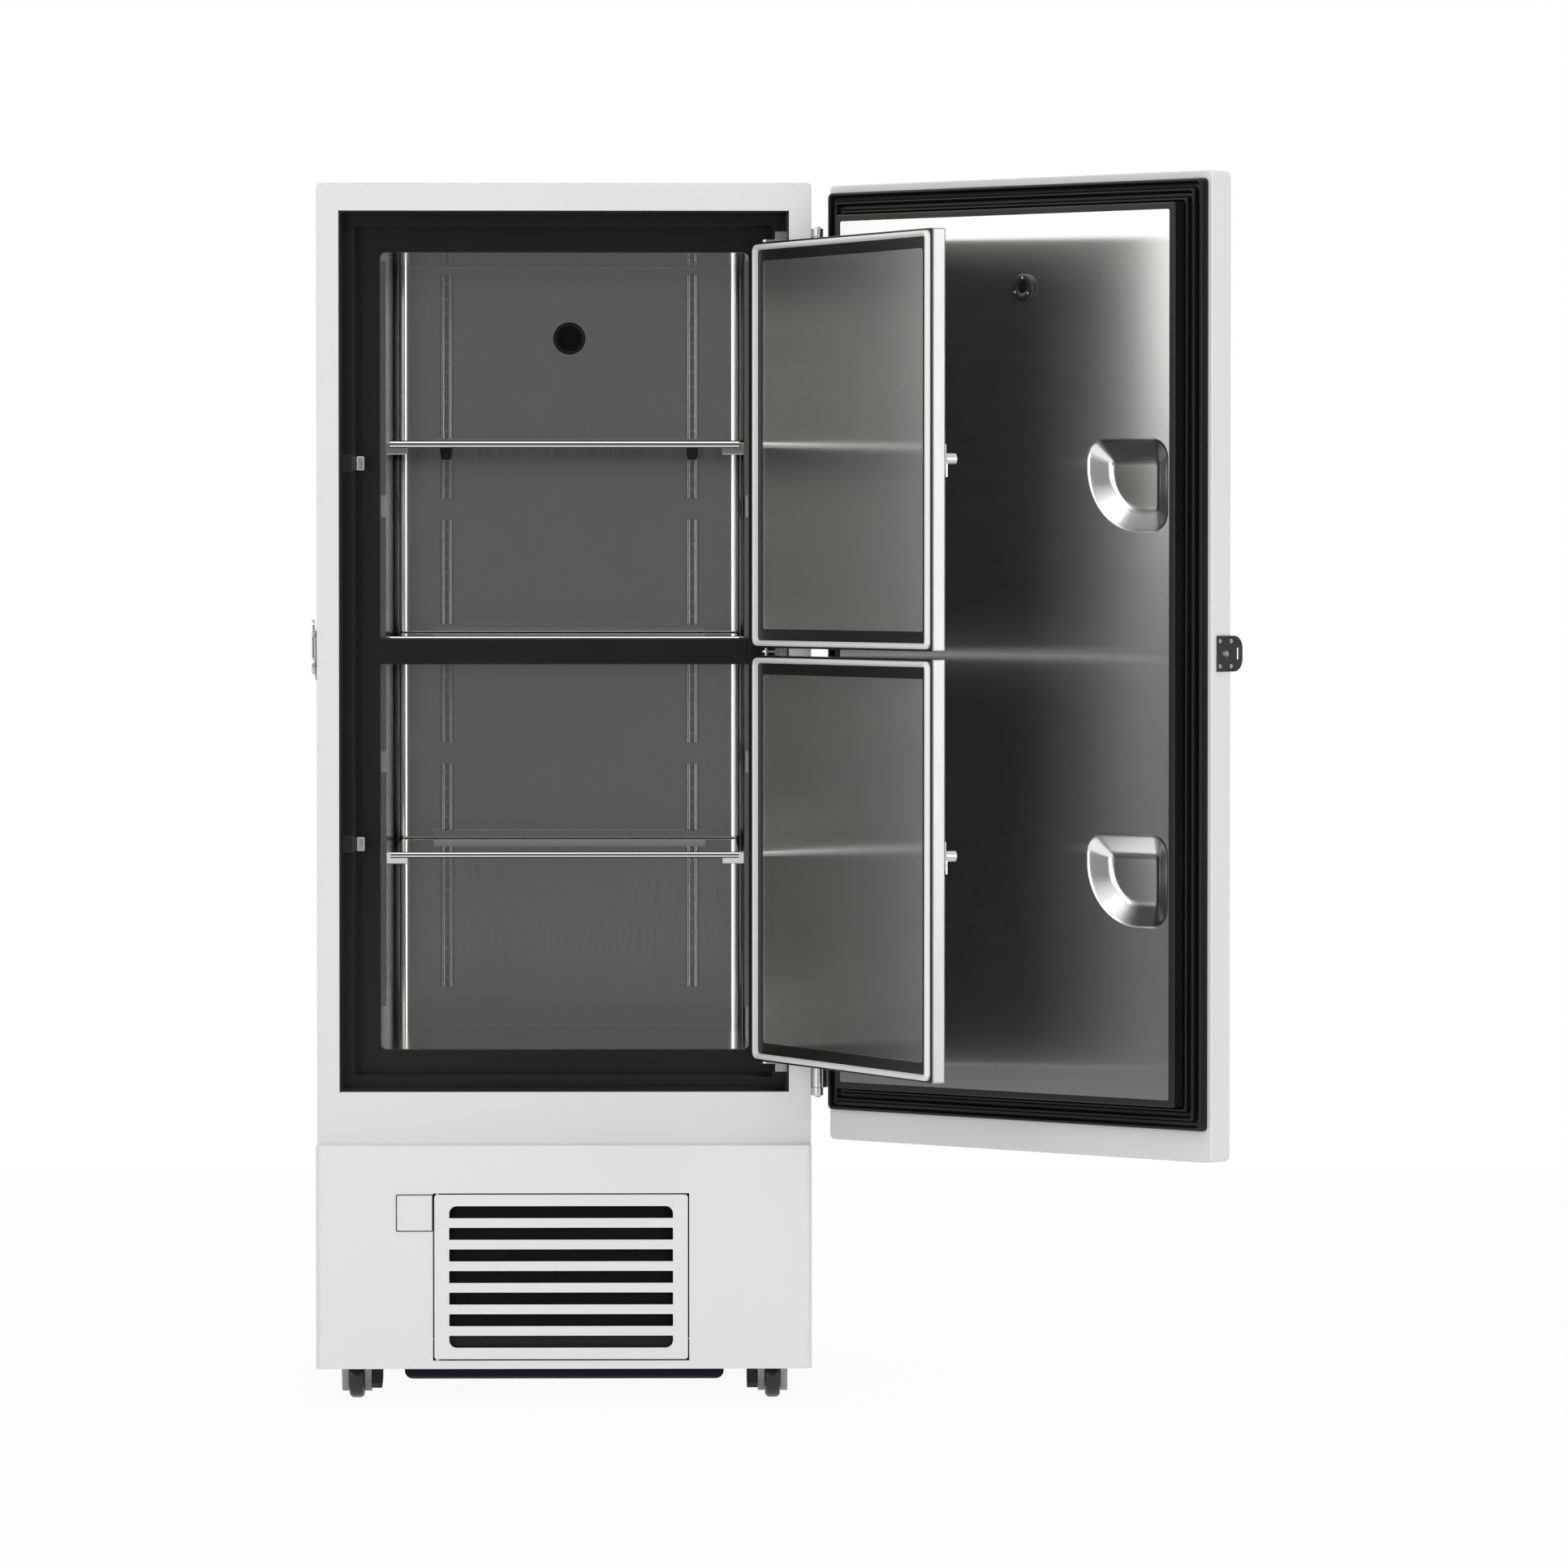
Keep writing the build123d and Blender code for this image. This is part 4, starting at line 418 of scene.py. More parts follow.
@dataclass(frozen=True)
class Foam(Finish):
    """Open cells, for insulation and the dust filter."""

    pores: float = 260.0
    shine: float = 0.02
    shades: Pair = (1.1, 0.7)
    mottled: float = 0.1
    colour_shares: Pair = (0.8, 0.2)

    def mix(self, recipe: Recipe) -> bpy.types.Material:
        """Cells in colour and bump."""
        hole = recipe.cells(self.pores, "Distance")
        cloud = recipe.noise(scale=8.0, detail=4.0)
        factor = hole * self.colour_shares[0] + cloud * self.colour_shares[1]
        return recipe.close(Base_Color=self.spread(recipe, *self.shades, factor),
                            Roughness=self.gloss((cloud, self.mottled)), Specular_IOR_Level=self.shine,
                            Normal=recipe.bump(hole, strength=0.6, distance=1.2))


@dataclass(frozen=True)
class Fins(Finish):
    """Aluminium fin block, close upright fins."""

    pitch: float = 2.2
    gap_shade: float = 0.12
    dusty: float = 0.3
    mottled: float = 0.1

    def mix(self, recipe: Recipe) -> bpy.types.Material:
        """Fin lines across X in colour and bump, the dark bands being painted shade in the gaps between the
        fins; a wave of scale one repeats every pi tenths.
        """
        scale = math.pi / 10 / (self.pitch * MM)
        line = recipe.node("ShaderNodeTexWave", {"wave_type": "BANDS", "bands_direction": "X"},
                           {"Vector": recipe.coords(), "Scale": scale, "Distortion": 0.0}, "Fac")
        dust = recipe.noise(scale=14.0, detail=5.0)
        # The dark bands are painted shade in the gaps between the fins
        colour = self.spread(recipe, self.gap_shade, 1.0, line * (1.0 - self.dusty * dust))
        return recipe.close(Base_Color=colour, Roughness=self.gloss((dust, self.mottled)), Metallic=1.0,
                            Normal=recipe.bump(line, strength=0.8, distance=1.0))


SLOT_FINISHES = (
    Paint("white_paint", (0.74, 0.74, 0.735), 0.38),
    Paint("base_paint", (0.755, 0.755, 0.755), 0.40),
    Plastic("grille_plastic", (0.76, 0.76, 0.765), 0.42, texture=700.0, depth=0.12, dust=0.03),
    Plastic("black_breaker", (0.0088, 0.0080, 0.0066), 0.30, texture=500.0, depth=0.05, dust=0.005,
            shine=0.32),
    Plastic("black_rubber", (0.0055, 0.0055, 0.0055), 0.40, texture=800.0, depth=0.1, dust=0.01,
            shine=0.25),
    Plastic("white_seal", (0.78, 0.78, 0.77), 0.5, texture=700.0, depth=0.12, dust=0.03),
    Steel("stainless", (0.54, 0.535, 0.52), 0.30, wave=0.06),
    Plastic("black_clip", (0.012, 0.012, 0.012), 0.45),
    Steel("bright_steel", (0.62, 0.62, 0.61), 0.30, grain=(1.0, 1.0, 0.3)),
    Steel("dark_steel", (0.09, 0.087, 0.08), 0.34, grain=(1.0, 1.0, 0.6)),
    Plastic("port_plastic", (0.012, 0.012, 0.012), 0.40),
    Foam("foam", (0.85, 0.78, 0.6), 0.85),
    Plating("copper", (0.70, 0.36, 0.22), 0.3, spangle=40.0),
    Plastic("display_black", (0.010, 0.010, 0.012), 0.12, texture=300.0, depth=0.0, dust=0.01),
    Plastic("handle_grey", (0.30, 0.31, 0.33), 0.42),
    Plastic("tray_navy", (0.002, 0.004, 0.012), 0.45, texture=600.0, depth=0.1, dust=0.005, shine=0.12),
    Plating("galvanised", (0.50, 0.51, 0.52), 0.42),
    Fins("fin_aluminium", (0.55, 0.56, 0.57), 0.35),
    Foam("filter_black", (0.014, 0.0135, 0.013), 0.9, pores=330.0),
    Plastic("fan_black", (0.015, 0.015, 0.015), 0.4),
    Paint("compressor_black", (0.012, 0.012, 0.012), 0.3, peel=0.2, soil=0.1),
    Plastic("caster_grey", (0.45, 0.45, 0.45), 0.36),
    Plastic("tyre_black", (0.010, 0.010, 0.010), 0.28, texture=500.0, depth=0.06, dust=0.02),
)
FINISHES: dict[Slot, Finish] = {Slot(finish.name): finish for finish in SLOT_FINISHES}

# Steel of single pieces in the stainless slot
LONG_GRAIN = (1.0, 1.0, 0.05)
FINE_GRAIN = (3.0, 3.0, 0.05)
SHORT_GRAIN = (1.0, 1.0, 0.2)
MIRROR = Steel("stainless_bright", (0.60, 0.595, 0.58), 0.03, LONG_GRAIN, wave=0.015)
LINING = Steel("stainless_lining", (0.60, 0.595, 0.58), 0.13, LONG_GRAIN, wave=0.015)
DOOR_SHEET = Steel("stainless_door", (0.62, 0.615, 0.60), 0.17, FINE_GRAIN, brushed=0.95, vary=0.25)
BRUSHED = Steel("stainless_brushed", (0.70, 0.695, 0.68), 0.17, FINE_GRAIN, brushed=0.95, vary=0.2)
# Darker copy of the steel for the inner doors' outer sheets: painted shade, so that the sheets and their
# reflection in the outer door's lining read dark
PAINTED_SHADE_STEEL = Steel("stainless_painted_shade", (0.30, 0.297, 0.29), 0.28, FINE_GRAIN)
# Lighter copy of the door's steel for the pressed pockets: painted light, so that they read brighter than
# the sheet they are pressed in
PAINTED_LIGHT_POCKET_STEEL = Steel("stainless_pocket_painted_light", (0.86, 0.855, 0.84), 0.20, (1.0, 1.0, 0.3), vary=0.5)
PAN = Steel("stainless_pan", (0.44, 0.437, 0.43), 0.30, LONG_GRAIN, vary=0.4)
WEB = Steel("stainless_web", (0.44, 0.435, 0.42), 0.16, SHORT_GRAIN)
# Near-white copy of the steel for the pilasters' rolled beads: the round beads really reflect the lamps, and
# the raised colour is painted highlight that makes them bright lines
PAINTED_HIGHLIGHT_BEAD_STEEL = Steel("stainless_bead_painted_highlight", (0.97, 0.965, 0.95), 0.22, SHORT_GRAIN)


def swing(hinge: Pair, angle: float) -> Matrix:
    """Turn about an upright axis, in millimetres and degrees."""
    away = Matrix.Translation((*hinge, 0.0))
    return away @ Matrix.Rotation(math.radians(angle), 4, "Z") @ away.inverted()


OUTER_PLACE = swing(OUTER_HINGE, OUTER_OPEN)
INNER_PLACE = swing(INNER_HINGE, INNER_OPEN)


def aim(origin: Point, axis: Point) -> Matrix:
    """Place whose Z runs along an axis from an origin."""
    turn = Vector(UP).rotation_difference(Vector(axis)).to_matrix().to_4x4()
    return Matrix.Translation(origin) @ turn


def about(middle: float, half: float) -> Pair:
    """Limits at the same distance on both sides of a middle."""
    return (middle - half, middle + half)


def shift(limits: Pair, by: float) -> Pair:
    """Limits moved along their axis."""
    return (limits[0] + by, limits[1] + by)


def grow(limits: Pair, by: float) -> Pair:
    """Limits moved outwards, or inwards where by is negative."""
    return (limits[0] - by, limits[1] + by)


class Shape:
    """A mesh in the making, in millimetres, worked with mesh operators."""

    # Tolerances of the mesh operators, then a screw head as shares of its radius and height
    MERGE = 0.0005
    SEAM = 0.001
    WELD = 0.002
    CUT = 0.0001
    FLAT = 0.01
    SCREW = ((0.0, 0.35), (0.45, 0.35), (0.45, 1.0), (0.75, 0.9), (1.0, 0.45), (1.0, 0.0))

    def __init__(self) -> None:
        """Start empty."""
        self.bm = bmesh.new()

    def box(self, x: Pair, y: Pair, z: Pair, edge: float = 0.0, segments: int = 2) -> "Shape":
        """Straight block, with all its edges rounded where edge is given.

        Args:
            x: Limits along X.
            y: Limits along Y.
            z: Limits along Z.
            edge: Radius of the edges.
            segments: Steps of that radius.

        Returns:
            The shape itself.
        """
        made = bmesh.ops.create_cube(self.bm, size=1.0)["verts"]
        bmesh.ops.scale(self.bm, vec=(x[1] - x[0], y[1] - y[0], z[1] - z[0]), verts=made)
        bmesh.ops.translate(self.bm, vec=(sum(x) / 2, sum(y) / 2, sum(z) / 2), verts=made)
        if edge:
            self.bevel(dict.fromkeys(side for vert in made for side in vert.link_edges), edge, segments)
        return self

    def bevel(self, edges: Iterable[bmesh.types.BMEdge], radius: float, segments: int) -> None:
        """Round some edges."""
        bmesh.ops.bevel(self.bm, geom=list(edges), offset=radius, offset_type="OFFSET", affect="EDGES",
                        segments=segments, profile=0.5, material=-1, clamp_overlap=True)

    def bevel_where(self, test: Test, radius: float, segments: int) -> None:
        """Round the edges that pass a test.

        Args:
            test: Takes an edge's middle and direction.
            radius: Radius of the rounding.
            segments: Its steps.
        """
        chosen = []
        for edge in self.bm.edges:
            start, end = edge.verts[0].co, edge.verts[1].co
            if test((start + end) / 2, (end - start).normalized()):
                chosen.append(edge)
        self.bevel(chosen, radius, segments)

    def bevel_sharp(self, radius: float, segments: int, angle: float = 40.0) -> None:
        """Round every edge that is sharper than an angle.

        Args:
            radius: Radius of the rounding.
            segments: Its steps.
            angle: Angle between the faces, in degrees.
        """
        limit = math.radians(angle)
        sharp = [e for e in self.bm.edges if len(e.link_faces) == 2 and e.calc_face_angle(0.0) > limit]
        self.bevel(sharp, radius, segments)

    def bar(self, origin: Point, axis: Point, radius: float, length: float, edge: float,
            sides: int = 40) -> None:
        """Round bar from a point along an axis, with rounded ends.

        Args:
            origin: Middle of the first end.
            axis: Direction of the bar.
            radius: Its radius.
            length: Its length.
            edge: Radius of its end edges.
            sides: Faces round it.
        """
        place = aim(origin, axis) @ Matrix.Translation((0.0, 0.0, length / 2))
        made = bmesh.ops.create_cone(self.bm, cap_ends=True, cap_tris=False, segments=sides, radius1=radius,
                                     radius2=radius, depth=length, matrix=place)["verts"]
        caps = dict.fromkeys(face for vert in made for face in vert.link_faces if len(face.verts) == sides)
        self.bevel([side for face in caps for side in face.edges], edge, 3)

    def lathe(self, profile: Sequence[Pair], origin: Point, axis: Point, steps: int = 48) -> "Shape":
        """Turn a profile about an axis.

        Args:
            profile: Radius and height of each point, along the axis.
            origin: Where the height is nought.
            axis: Direction of the axis.
            steps: Faces round it.

        Returns:
            The shape itself.
        """
        before = set(self.bm.verts)
        points = [self.bm.verts.new((radius, 0.0, height)) for radius, height in profile]
        lines = [self.bm.edges.new(pair) for pair in zip(points, points[1:])]
        bmesh.ops.spin(self.bm, geom=points + lines, cent=(0.0, 0.0, 0.0), axis=UP,
                       angle=2 * math.pi, steps=steps, use_merge=True)
        made = [vert for vert in self.bm.verts if vert not in before]
        bmesh.ops.remove_doubles(self.bm, verts=made, dist=self.SEAM)
        made = [vert for vert in self.bm.verts if vert not in before]
        bmesh.ops.transform(self.bm, matrix=aim(origin, axis), verts=made)
        return self

    def screw(self, spot: Point, axis: Point, radius: float, height: float = 2.0) -> None:
        """Pan-head screw with a socket in it."""
        profile = [(radius * across, height * along) for across, along in self.SCREW]
        self.lathe(profile, spot, axis, 18)

    def loop(self, x: Pair, z: Pair, y: float, radius: Union[float, Sequence[float]],
             segments: int = 6) -> Edges:
        """Upright rectangle with round corners, as a closed run of edges.

        Args:
            x: Limits along X.
            z: Limits along Z.
            y: Depth.
            radius: Corner radius, or one each from the low left corner round.
            segments: Steps of each corner.

        Returns:
            The edges.
        """
        before = set(self.bm.faces)
        spots = ((x[0], y, z[0]), (x[1], y, z[0]), (x[1], y, z[1]), (x[0], y, z[1]))
        corners = [self.bm.verts.new(spot) for spot in spots]
        self.bm.faces.new(corners)
        radii = [radius] * 4 if isinstance(radius, (int, float)) else radius
        for corner, size in zip(corners, radii):
            bmesh.ops.bevel(self.bm, geom=[corner], offset=size, offset_type="OFFSET", affect="VERTICES",
                            segments=segments, profile=0.5, material=-1)
        face = next(other for other in self.bm.faces if other not in before)
        edges = list(face.edges)
        bmesh.ops.delete(self.bm, geom=[face], context="FACES_ONLY")
        return edges

    def bridge(self, first: Edges, second: Edges) -> None:
        """Skin between two closed runs of edges."""
        bmesh.ops.bridge_loops(self.bm, edges=first + second)

    def fill(self, *loops: Edges) -> None:
        """Flat skin inside the first run and outside the others."""
        bmesh.ops.triangle_fill(self.bm, edges=[edge for run in loops for edge in run], use_beauty=True)

    def ring(self, x: Pair, z: Pair, profile: Sequence[Point], segments: int = 6) -> "Shape":
        """Closed section carried round a rectangle.

        Args:
            x: Limits of the rectangle along X.
            z: Limits of the rectangle along Z.
            profile: Inset, depth and corner radius of each corner of the section.
            segments: Steps of each corner.

        Returns:
            The shape itself.
        """
        runs = []
        for inset, y, radius in profile:
            runs.append(self.loop(grow(x, -inset), grow(z, -inset), y, radius, segments))
        for first, second in zip(runs, runs[1:] + runs[:1]):
            self.bridge(first, second)
        return self

    def split(self, axis: int, limit: float) -> None:
        """Cut new edges all round where one coordinate has a value.

        Args:
            axis: Number of the coordinate.
            limit: Its value.
        """
        spot, normal = Vector(), Vector()
        spot[axis], normal[axis] = limit, 1.0
        everything = [*self.bm.verts, *self.bm.edges, *self.bm.faces]
        bmesh.ops.bisect_plane(self.bm, geom=everything, dist=self.CUT, plane_co=spot, plane_no=normal)

    def window(self, x: Pair, y: float, z: Pair) -> None:
        """Cut a rectangular opening in an upright wall.

        Args:
            x: Limits along X.
            y: Depth of the wall.
            z: Limits along Z.
        """
        for axis, limits in ((0, x), (2, z)):
            for limit in limits:
                self.split(axis, limit)
        self.remove_where(lambda m, n: x[0] < m.x < x[1] and z[0] < m.z < z[1] and abs(m.y - y) < NEAR)

    def remove_where(self, test: Test) -> None:
        """Take away the faces that pass a test, which takes a face's middle and normal."""
        self.bm.normal_update()
        gone = [face for face in self.bm.faces if test(face.calc_center_median(), face.normal)]
        bmesh.ops.delete(self.bm, geom=gone, context="FACES")

    def thicken(self, thickness: float) -> None:
        """Give an open sheet a wall on its inner side."""
        bmesh.ops.recalc_face_normals(self.bm, faces=list(self.bm.faces))
        bmesh.ops.solidify(self.bm, geom=list(self.bm.faces), thickness=thickness)

    def node_copy(self, node: str) -> None:
        """Take over a merged copy of a solid's mesh, with its flat faces joined.

        Args:
            node: Name of the solid.
        """
        self.bm.from_mesh(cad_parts[node].data)
        bmesh.ops.scale(self.bm, vec=(1 / MM,) * 3, verts=list(self.bm.verts))
        bmesh.ops.remove_doubles(self.bm, verts=list(self.bm.verts), dist=self.WELD)
        bmesh.ops.dissolve_limit(self.bm, angle_limit=self.FLAT, verts=list(self.bm.verts),
                                 edges=list(self.bm.edges))

    def piece(self, name: str, body: str, slot: Slot, *nodes: str, place: Optional[Matrix] = None,
              smooth: float = ROUND, finish: Optional[Finish] = None) -> None:
        """Finish the mesh as a piece of the freezer.

        Args:
            name: Name of the piece.
            body: Body that it moves with.
            slot: Finish that it takes.
            nodes: Solids that it stands for.
            place: Where it is carried first.
            smooth: Edges under this angle are shaded round, in degrees.
            finish: Finish of its own, where the slot's isn't used.
        """
        bmesh.ops.remove_doubles(self.bm, verts=list(self.bm.verts), dist=self.MERGE)
        bmesh.ops.recalc_face_normals(self.bm, faces=list(self.bm.faces))
        if place is not None:
            bmesh.ops.transform(self.bm, matrix=place, verts=list(self.bm.verts))
        bmesh.ops.scale(self.bm, vec=(MM,) * 3, verts=list(self.bm.verts))
        mesh = bpy.data.meshes.new(name)
        self.bm.to_mesh(mesh)
        self.bm.free()
        mesh.shade_smooth()
        mesh.set_sharp_from_angle(angle=math.radians(smooth))
        mesh.materials.append((finish or FINISHES[slot]).material())
        made = bpy.data.objects.new(name, mesh)
        bpy.context.scene.collection.objects.link(made)
        even = made.modifiers.new("even_normals", "WEIGHTED_NORMAL")
        even.keep_sharp, even.weight = True, 100
        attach(made, body)
        if nodes:
            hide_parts(*nodes)
        log.info("%s on %s, %d faces", name, body, len(mesh.polygons))


def dress(node: str, name: str, body: str, slot: Slot, edge: float, segments: int = 2,
          screws: Sequence[tuple[Point, Point, float]] = (), finish: Optional[Finish] = None) -> None:
    """Make a piece from a solid's own mesh, with soft edges and screws.

    Args:
        node: Solid that is taken over.
        name: Name of the piece.
        body: Body that it moves with.
        slot: Finish that it takes.
        edge: Radius of its edges.
        segments: Steps of that radius.
        screws: Spot, axis and radius of each screw.
        finish: Finish of its own, where the slot's isn't used.
    """
    shape = Shape()
    shape.node_copy(node)
    shape.bevel_sharp(edge, segments)
    for spot, axis, radius in screws:
        shape.screw(spot, axis, radius)
    shape.piece(name, body, slot, node, finish=finish)


@dataclass
class Cabinet:
    """Outer shell, its breaker frame and the back."""

    z: Pair = (420.0, 1973.0)
    mouth_half: float = 364.0
    mouth: Pair = (502.0, 1928.0)
    sheet: float = 1.5
    top_radius: float = 7.0
    front_radius: float = 2.0
    landing: float = 36.0
    seat: float = 68.0
    lip: float = 82.0
    wall: float = 2.5
    gap: float = 0.4
    insets: Point = (3.0, 23.0, 65.0)
    radii: Point = (4.0, 7.0, 9.0)
    step_edge: float = 1.8
    cap_x: Pair = (-336.0, -323.6)
    cap_y: Pair = (FRONT + 24.1, FRONT + 28.2)
    cap_half: float = 11.4
    cap_edge: float = 1.4
    screw_x: Pair = (-385.0, 385.0)
    screw_radius: float = 4.5
    panel_rows: tuple[float, ...] = (480.0, 840.0, 1200.0, 1560.0, 1920.0)
    louvre_rows: tuple[float, ...] = (75.0, 240.0, 400.0)

    def build(self) -> None:
        """Make the shell, the stepped frame and the rear panels."""
        self.shell()
        self.breaker()
        self.keepers()
        self.back()

    def shell(self) -> None:
        """Folded sheet with a front flange."""
        shape = Shape()
        shape.box((-HALF, HALF), (FRONT, BACK), self.z)
        low, high = self.z
        shape.bevel_where(lambda m, d: m.z > high - NEAR and abs(d.y) > ALONG, self.top_radius, 6)
        shape.remove_where(lambda m, n: n.y > ALONG or n.z < -ALONG)
        shape.bevel_where(lambda m, d: m.y < FRONT + NEAR and m.z > low + NEAR, self.front_radius, 3)
        shape.window((-self.mouth_half, self.mouth_half), FRONT, self.mouth)
        shape.thicken(self.sheet)
        shape.piece("cabinet_skin", "cabinet", Slot.WHITE_PAINT, "cabinet_shell", smooth=CRISP)

    def breaker(self) -> None:
        """Two black steps from the flange to the chamber, with soft corners."""
        gap, landing, seat, lip, wall = self.gap, self.landing, self.seat, self.lip, self.wall
        rim, step, mouth = self.insets
        outer, middle, inner = self.radii
        steps = ((rim, gap, outer), (rim, landing, outer), (step, landing, middle), (step, seat, middle),
                 (mouth, seat, inner), (mouth, lip, inner), (mouth - wall, lip, inner),
                 (mouth - wall, seat + wall, inner), (step - wall, seat + wall, middle),
                 (step - wall, landing + wall, middle), (gap, landing + wall, outer), (gap, gap, outer))
        shape = Shape()
        shape.ring((-self.mouth_half, self.mouth_half), self.mouth,
                   [(inset, FRONT + depth, radius) for inset, depth, radius in steps])
        shape.bevel_sharp(self.step_edge, 3, SQUARE)
        shape.piece("breaker_steps", "cabinet", Slot.BREAKER, "breaker_frame")
        dress("mullion", "mullion_bar", "cabinet", Slot.BREAKER, edge=2.0, segments=3)

    def keepers(self) -> None:
        """Brackets that the inner door levers catch on, with bright caps."""
        dress("inner_door_keepers", "keeper_brackets", "cabinet", Slot.CLIP, edge=0.4)
        caps = Shape()
        for middle in LEVER_Z:
            caps.box(self.cap_x, self.cap_y, about(middle, self.cap_half), self.cap_edge, 3)
        caps.piece("keeper_caps", "cabinet", Slot.BRIGHT)

    def back(self) -> None:
        """Rear panels with their screws, and the inlet."""
        panels = (("cabinet_back_panel", "back_panel", Slot.WHITE_PAINT, self.panel_rows),
                  ("base_rear_panel", "rear_louvre_panel", Slot.BASE_PAINT, self.louvre_rows))
        for node, name, slot, rows in panels:
            screws = [((x, BACK, z), REARWARD, self.screw_radius) for x in self.screw_x for z in rows]
            dress(node, name, "cabinet", slot, edge=0.4, segments=1, screws=screws)
        dress("power_inlet", "inlet_socket", "cabinet", Slot.CLIP, edge=0.8)


@dataclass
class Chamber:
    """Steel chamber with shelves, pilasters, clips and the access port."""

    half: float = 299.0
    z: Pair = (567.0, 1863.0)
    front: float = FRONT + 82.0
    back: float = 340.0
    corner: float = 26.0
    cove: float = 0.3
    sheet: float = 1.5
    shelf_half: float = 284.0
    shelf_y: Pair = (FRONT + 92.0, FRONT + 752.0)
    shelf_sheet: float = 1.2
    hem: float = 6.0
    lip: float = 10.0
    lip_radius: float = 4.2
    upstand: float = 14.0
    upstand_half: float = 232.0
    lean: float = 2.2
    bend: float = 2.2
    rear_x: float = 210.0
    side_x: float = 240.0
    runs: Outline = ((633.0, 1016.0), (1051.0, 1434.0), (1469.0, 1852.0))
    bead_offset: float = 6.25
    bead_rise: float = 3.6
    bead_radius: float = 2.4
    bead_edge: float = 1.0
    rest_edge: float = 1.6
    port_z: float = 1743.0
    port_bore: float = 23.3
    port_flange: Outline = ((26.0, 0.0), (27.5, 0.0), (27.5, 2.0), (26.6, 3.0), (24.5, 3.0), (23.3, 2.0))
    stopper: Outline = ((0.0, -60.0), (22.6, -60.0), (22.9, 1.5), (21.5, 2.6), (15.0, 2.8), (14.0, 1.6),
                        (0.0, 1.6))

    def build(self) -> None:
        """Make the lining and all that hangs in it."""
        self.lining()
        for name in ("lower", "middle", "upper"):
            self.shelf(name)
        dress("pilasters", "slotted_pilasters", "cabinet", Slot.STAINLESS, edge=0.5, segments=3, finish=WEB)
        self.beads()
        self.rests()
        self.port()

    def lining(self) -> None:
        """Bent sheet, with large rear corners and small coves."""
        sheet = self.sheet
        rear = self.back + sheet
        low, high = self.z
        shape = Shape()
        shape.box((-self.half - sheet, self.half + sheet), (self.front, rear), grow(self.z, sheet))
        shape.bevel_where(lambda m, d: m.y > rear - NEAR and abs(d.z) > ALONG, self.corner + sheet, 20)
        shape.remove_where(lambda m, n: n.y < -ALONG)
        shape.bevel_where(lambda m, d: abs(d.z) < ACROSS and m.y > self.front + NEAR
                          and (m.z < low or m.z > high), self.cove + sheet, 4)
        shape.thicken(sheet)
        shape.piece("chamber_lining", "cabinet", Slot.STAINLESS, "inner_liner", finish=LINING)

    def shelf(self, name: str) -> None:
        """Folded shelf with a rolled front lip and a rear upstand.

        Args:
            name: Which of the shelves it is.
        """
        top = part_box(f"shelf_{name}")[1].z / MM - self.upstand
        front, back = self.shelf_y
        path = ((front + self.hem, top - self.lip), (front, top - self.lip), (front, top), (back, top),
                (back + self.lean, top + self.upstand))
        shape = Shape()
        points = [shape.bm.verts.new((-self.shelf_half, y, z)) for y, z in path]
        lines = [shape.bm.edges.new(pair) for pair in zip(points, points[1:])]
        grown = bmesh.ops.extrude_edge_only(shape.bm, edges=lines)["geom"]
        moved = [part for part in grown if isinstance(part, bmesh.types.BMVert)]
        bmesh.ops.translate(shape.bm, vec=(2 * self.shelf_half, 0.0, 0.0), verts=moved)
        shape.bevel_where(lambda m, d: abs(d.x) > ALONG and m.y < front + NEAR, self.lip_radius, 7)
        shape.bevel_where(lambda m, d: abs(d.x) > ALONG and m.y > back - NEAR and m.z < top + NEAR,
                          self.bend, 4)
        for side in SIDES:
            shape.split(0, side * self.upstand_half)
        shape.remove_where(lambda m, n: m.z > top + self.bend and abs(m.x) > self.upstand_half)
        shape.thicken(self.shelf_sheet)
        shape.piece(f"shelf_{name}_sheet", "cabinet", Slot.STAINLESS, f"shelf_{name}", finish=MIRROR)

    def beads(self) -> None:
        """Rolled beads along both sides of the rear pilasters, in a near-white steel: their reflections of
        the lamps are real, the raised colour is painted highlight.
        """
        shape = Shape()
        for low, high in self.runs:
            for side in SIDES:
                for x in about(side * self.rear_x, self.bead_offset):
                    spot = (x, self.back - self.bead_rise, low)
                    shape.bar(spot, UP, self.bead_radius, high - low, self.bead_edge, 20)
        shape.piece("pilaster_beads", "cabinet", Slot.STAINLESS, smooth=ROLLED, finish=PAINTED_HIGHLIGHT_BEAD_STEEL)

    def rests(self) -> None:
        """Black shelf clips of the back wall, and steel ones of the side walls."""
        kinds = (("shelf_rests", Slot.CLIP, True, ("shelf_clips",), None),
                 ("side_rests", Slot.STAINLESS, False, (), LINING))
        for name, slot, rear, nodes, finish in kinds:
            shape = Shape()
            shape.node_copy("shelf_clips")
            gone = [vert for vert in shape.bm.verts if (abs(vert.co.x) > self.side_x) == rear]
            bmesh.ops.delete(shape.bm, geom=gone, context="VERTS")
            shape.bevel_sharp(self.rest_edge, 3)
            shape.piece(name, "cabinet", slot, *nodes, finish=finish)

    def port(self) -> None:
        """Flanged sleeve through the back, with its stopper."""
        spot = (0.0, self.back, self.port_z)
        depth = BACK - self.back
        inlet = (self.port_bore, -depth)
        sleeve = (inlet, (self.port_flange[0][0], -depth), *self.port_flange, inlet)
        tube = Shape().lathe(sleeve, spot, FORWARD, 56)
        tube.piece("access_port_sleeve", "cabinet", Slot.PORT, "access_port")
        stopper = Shape().lathe(self.stopper, spot, FORWARD)
        stopper.piece("access_port_stopper", "cabinet", Slot.RUBBER)


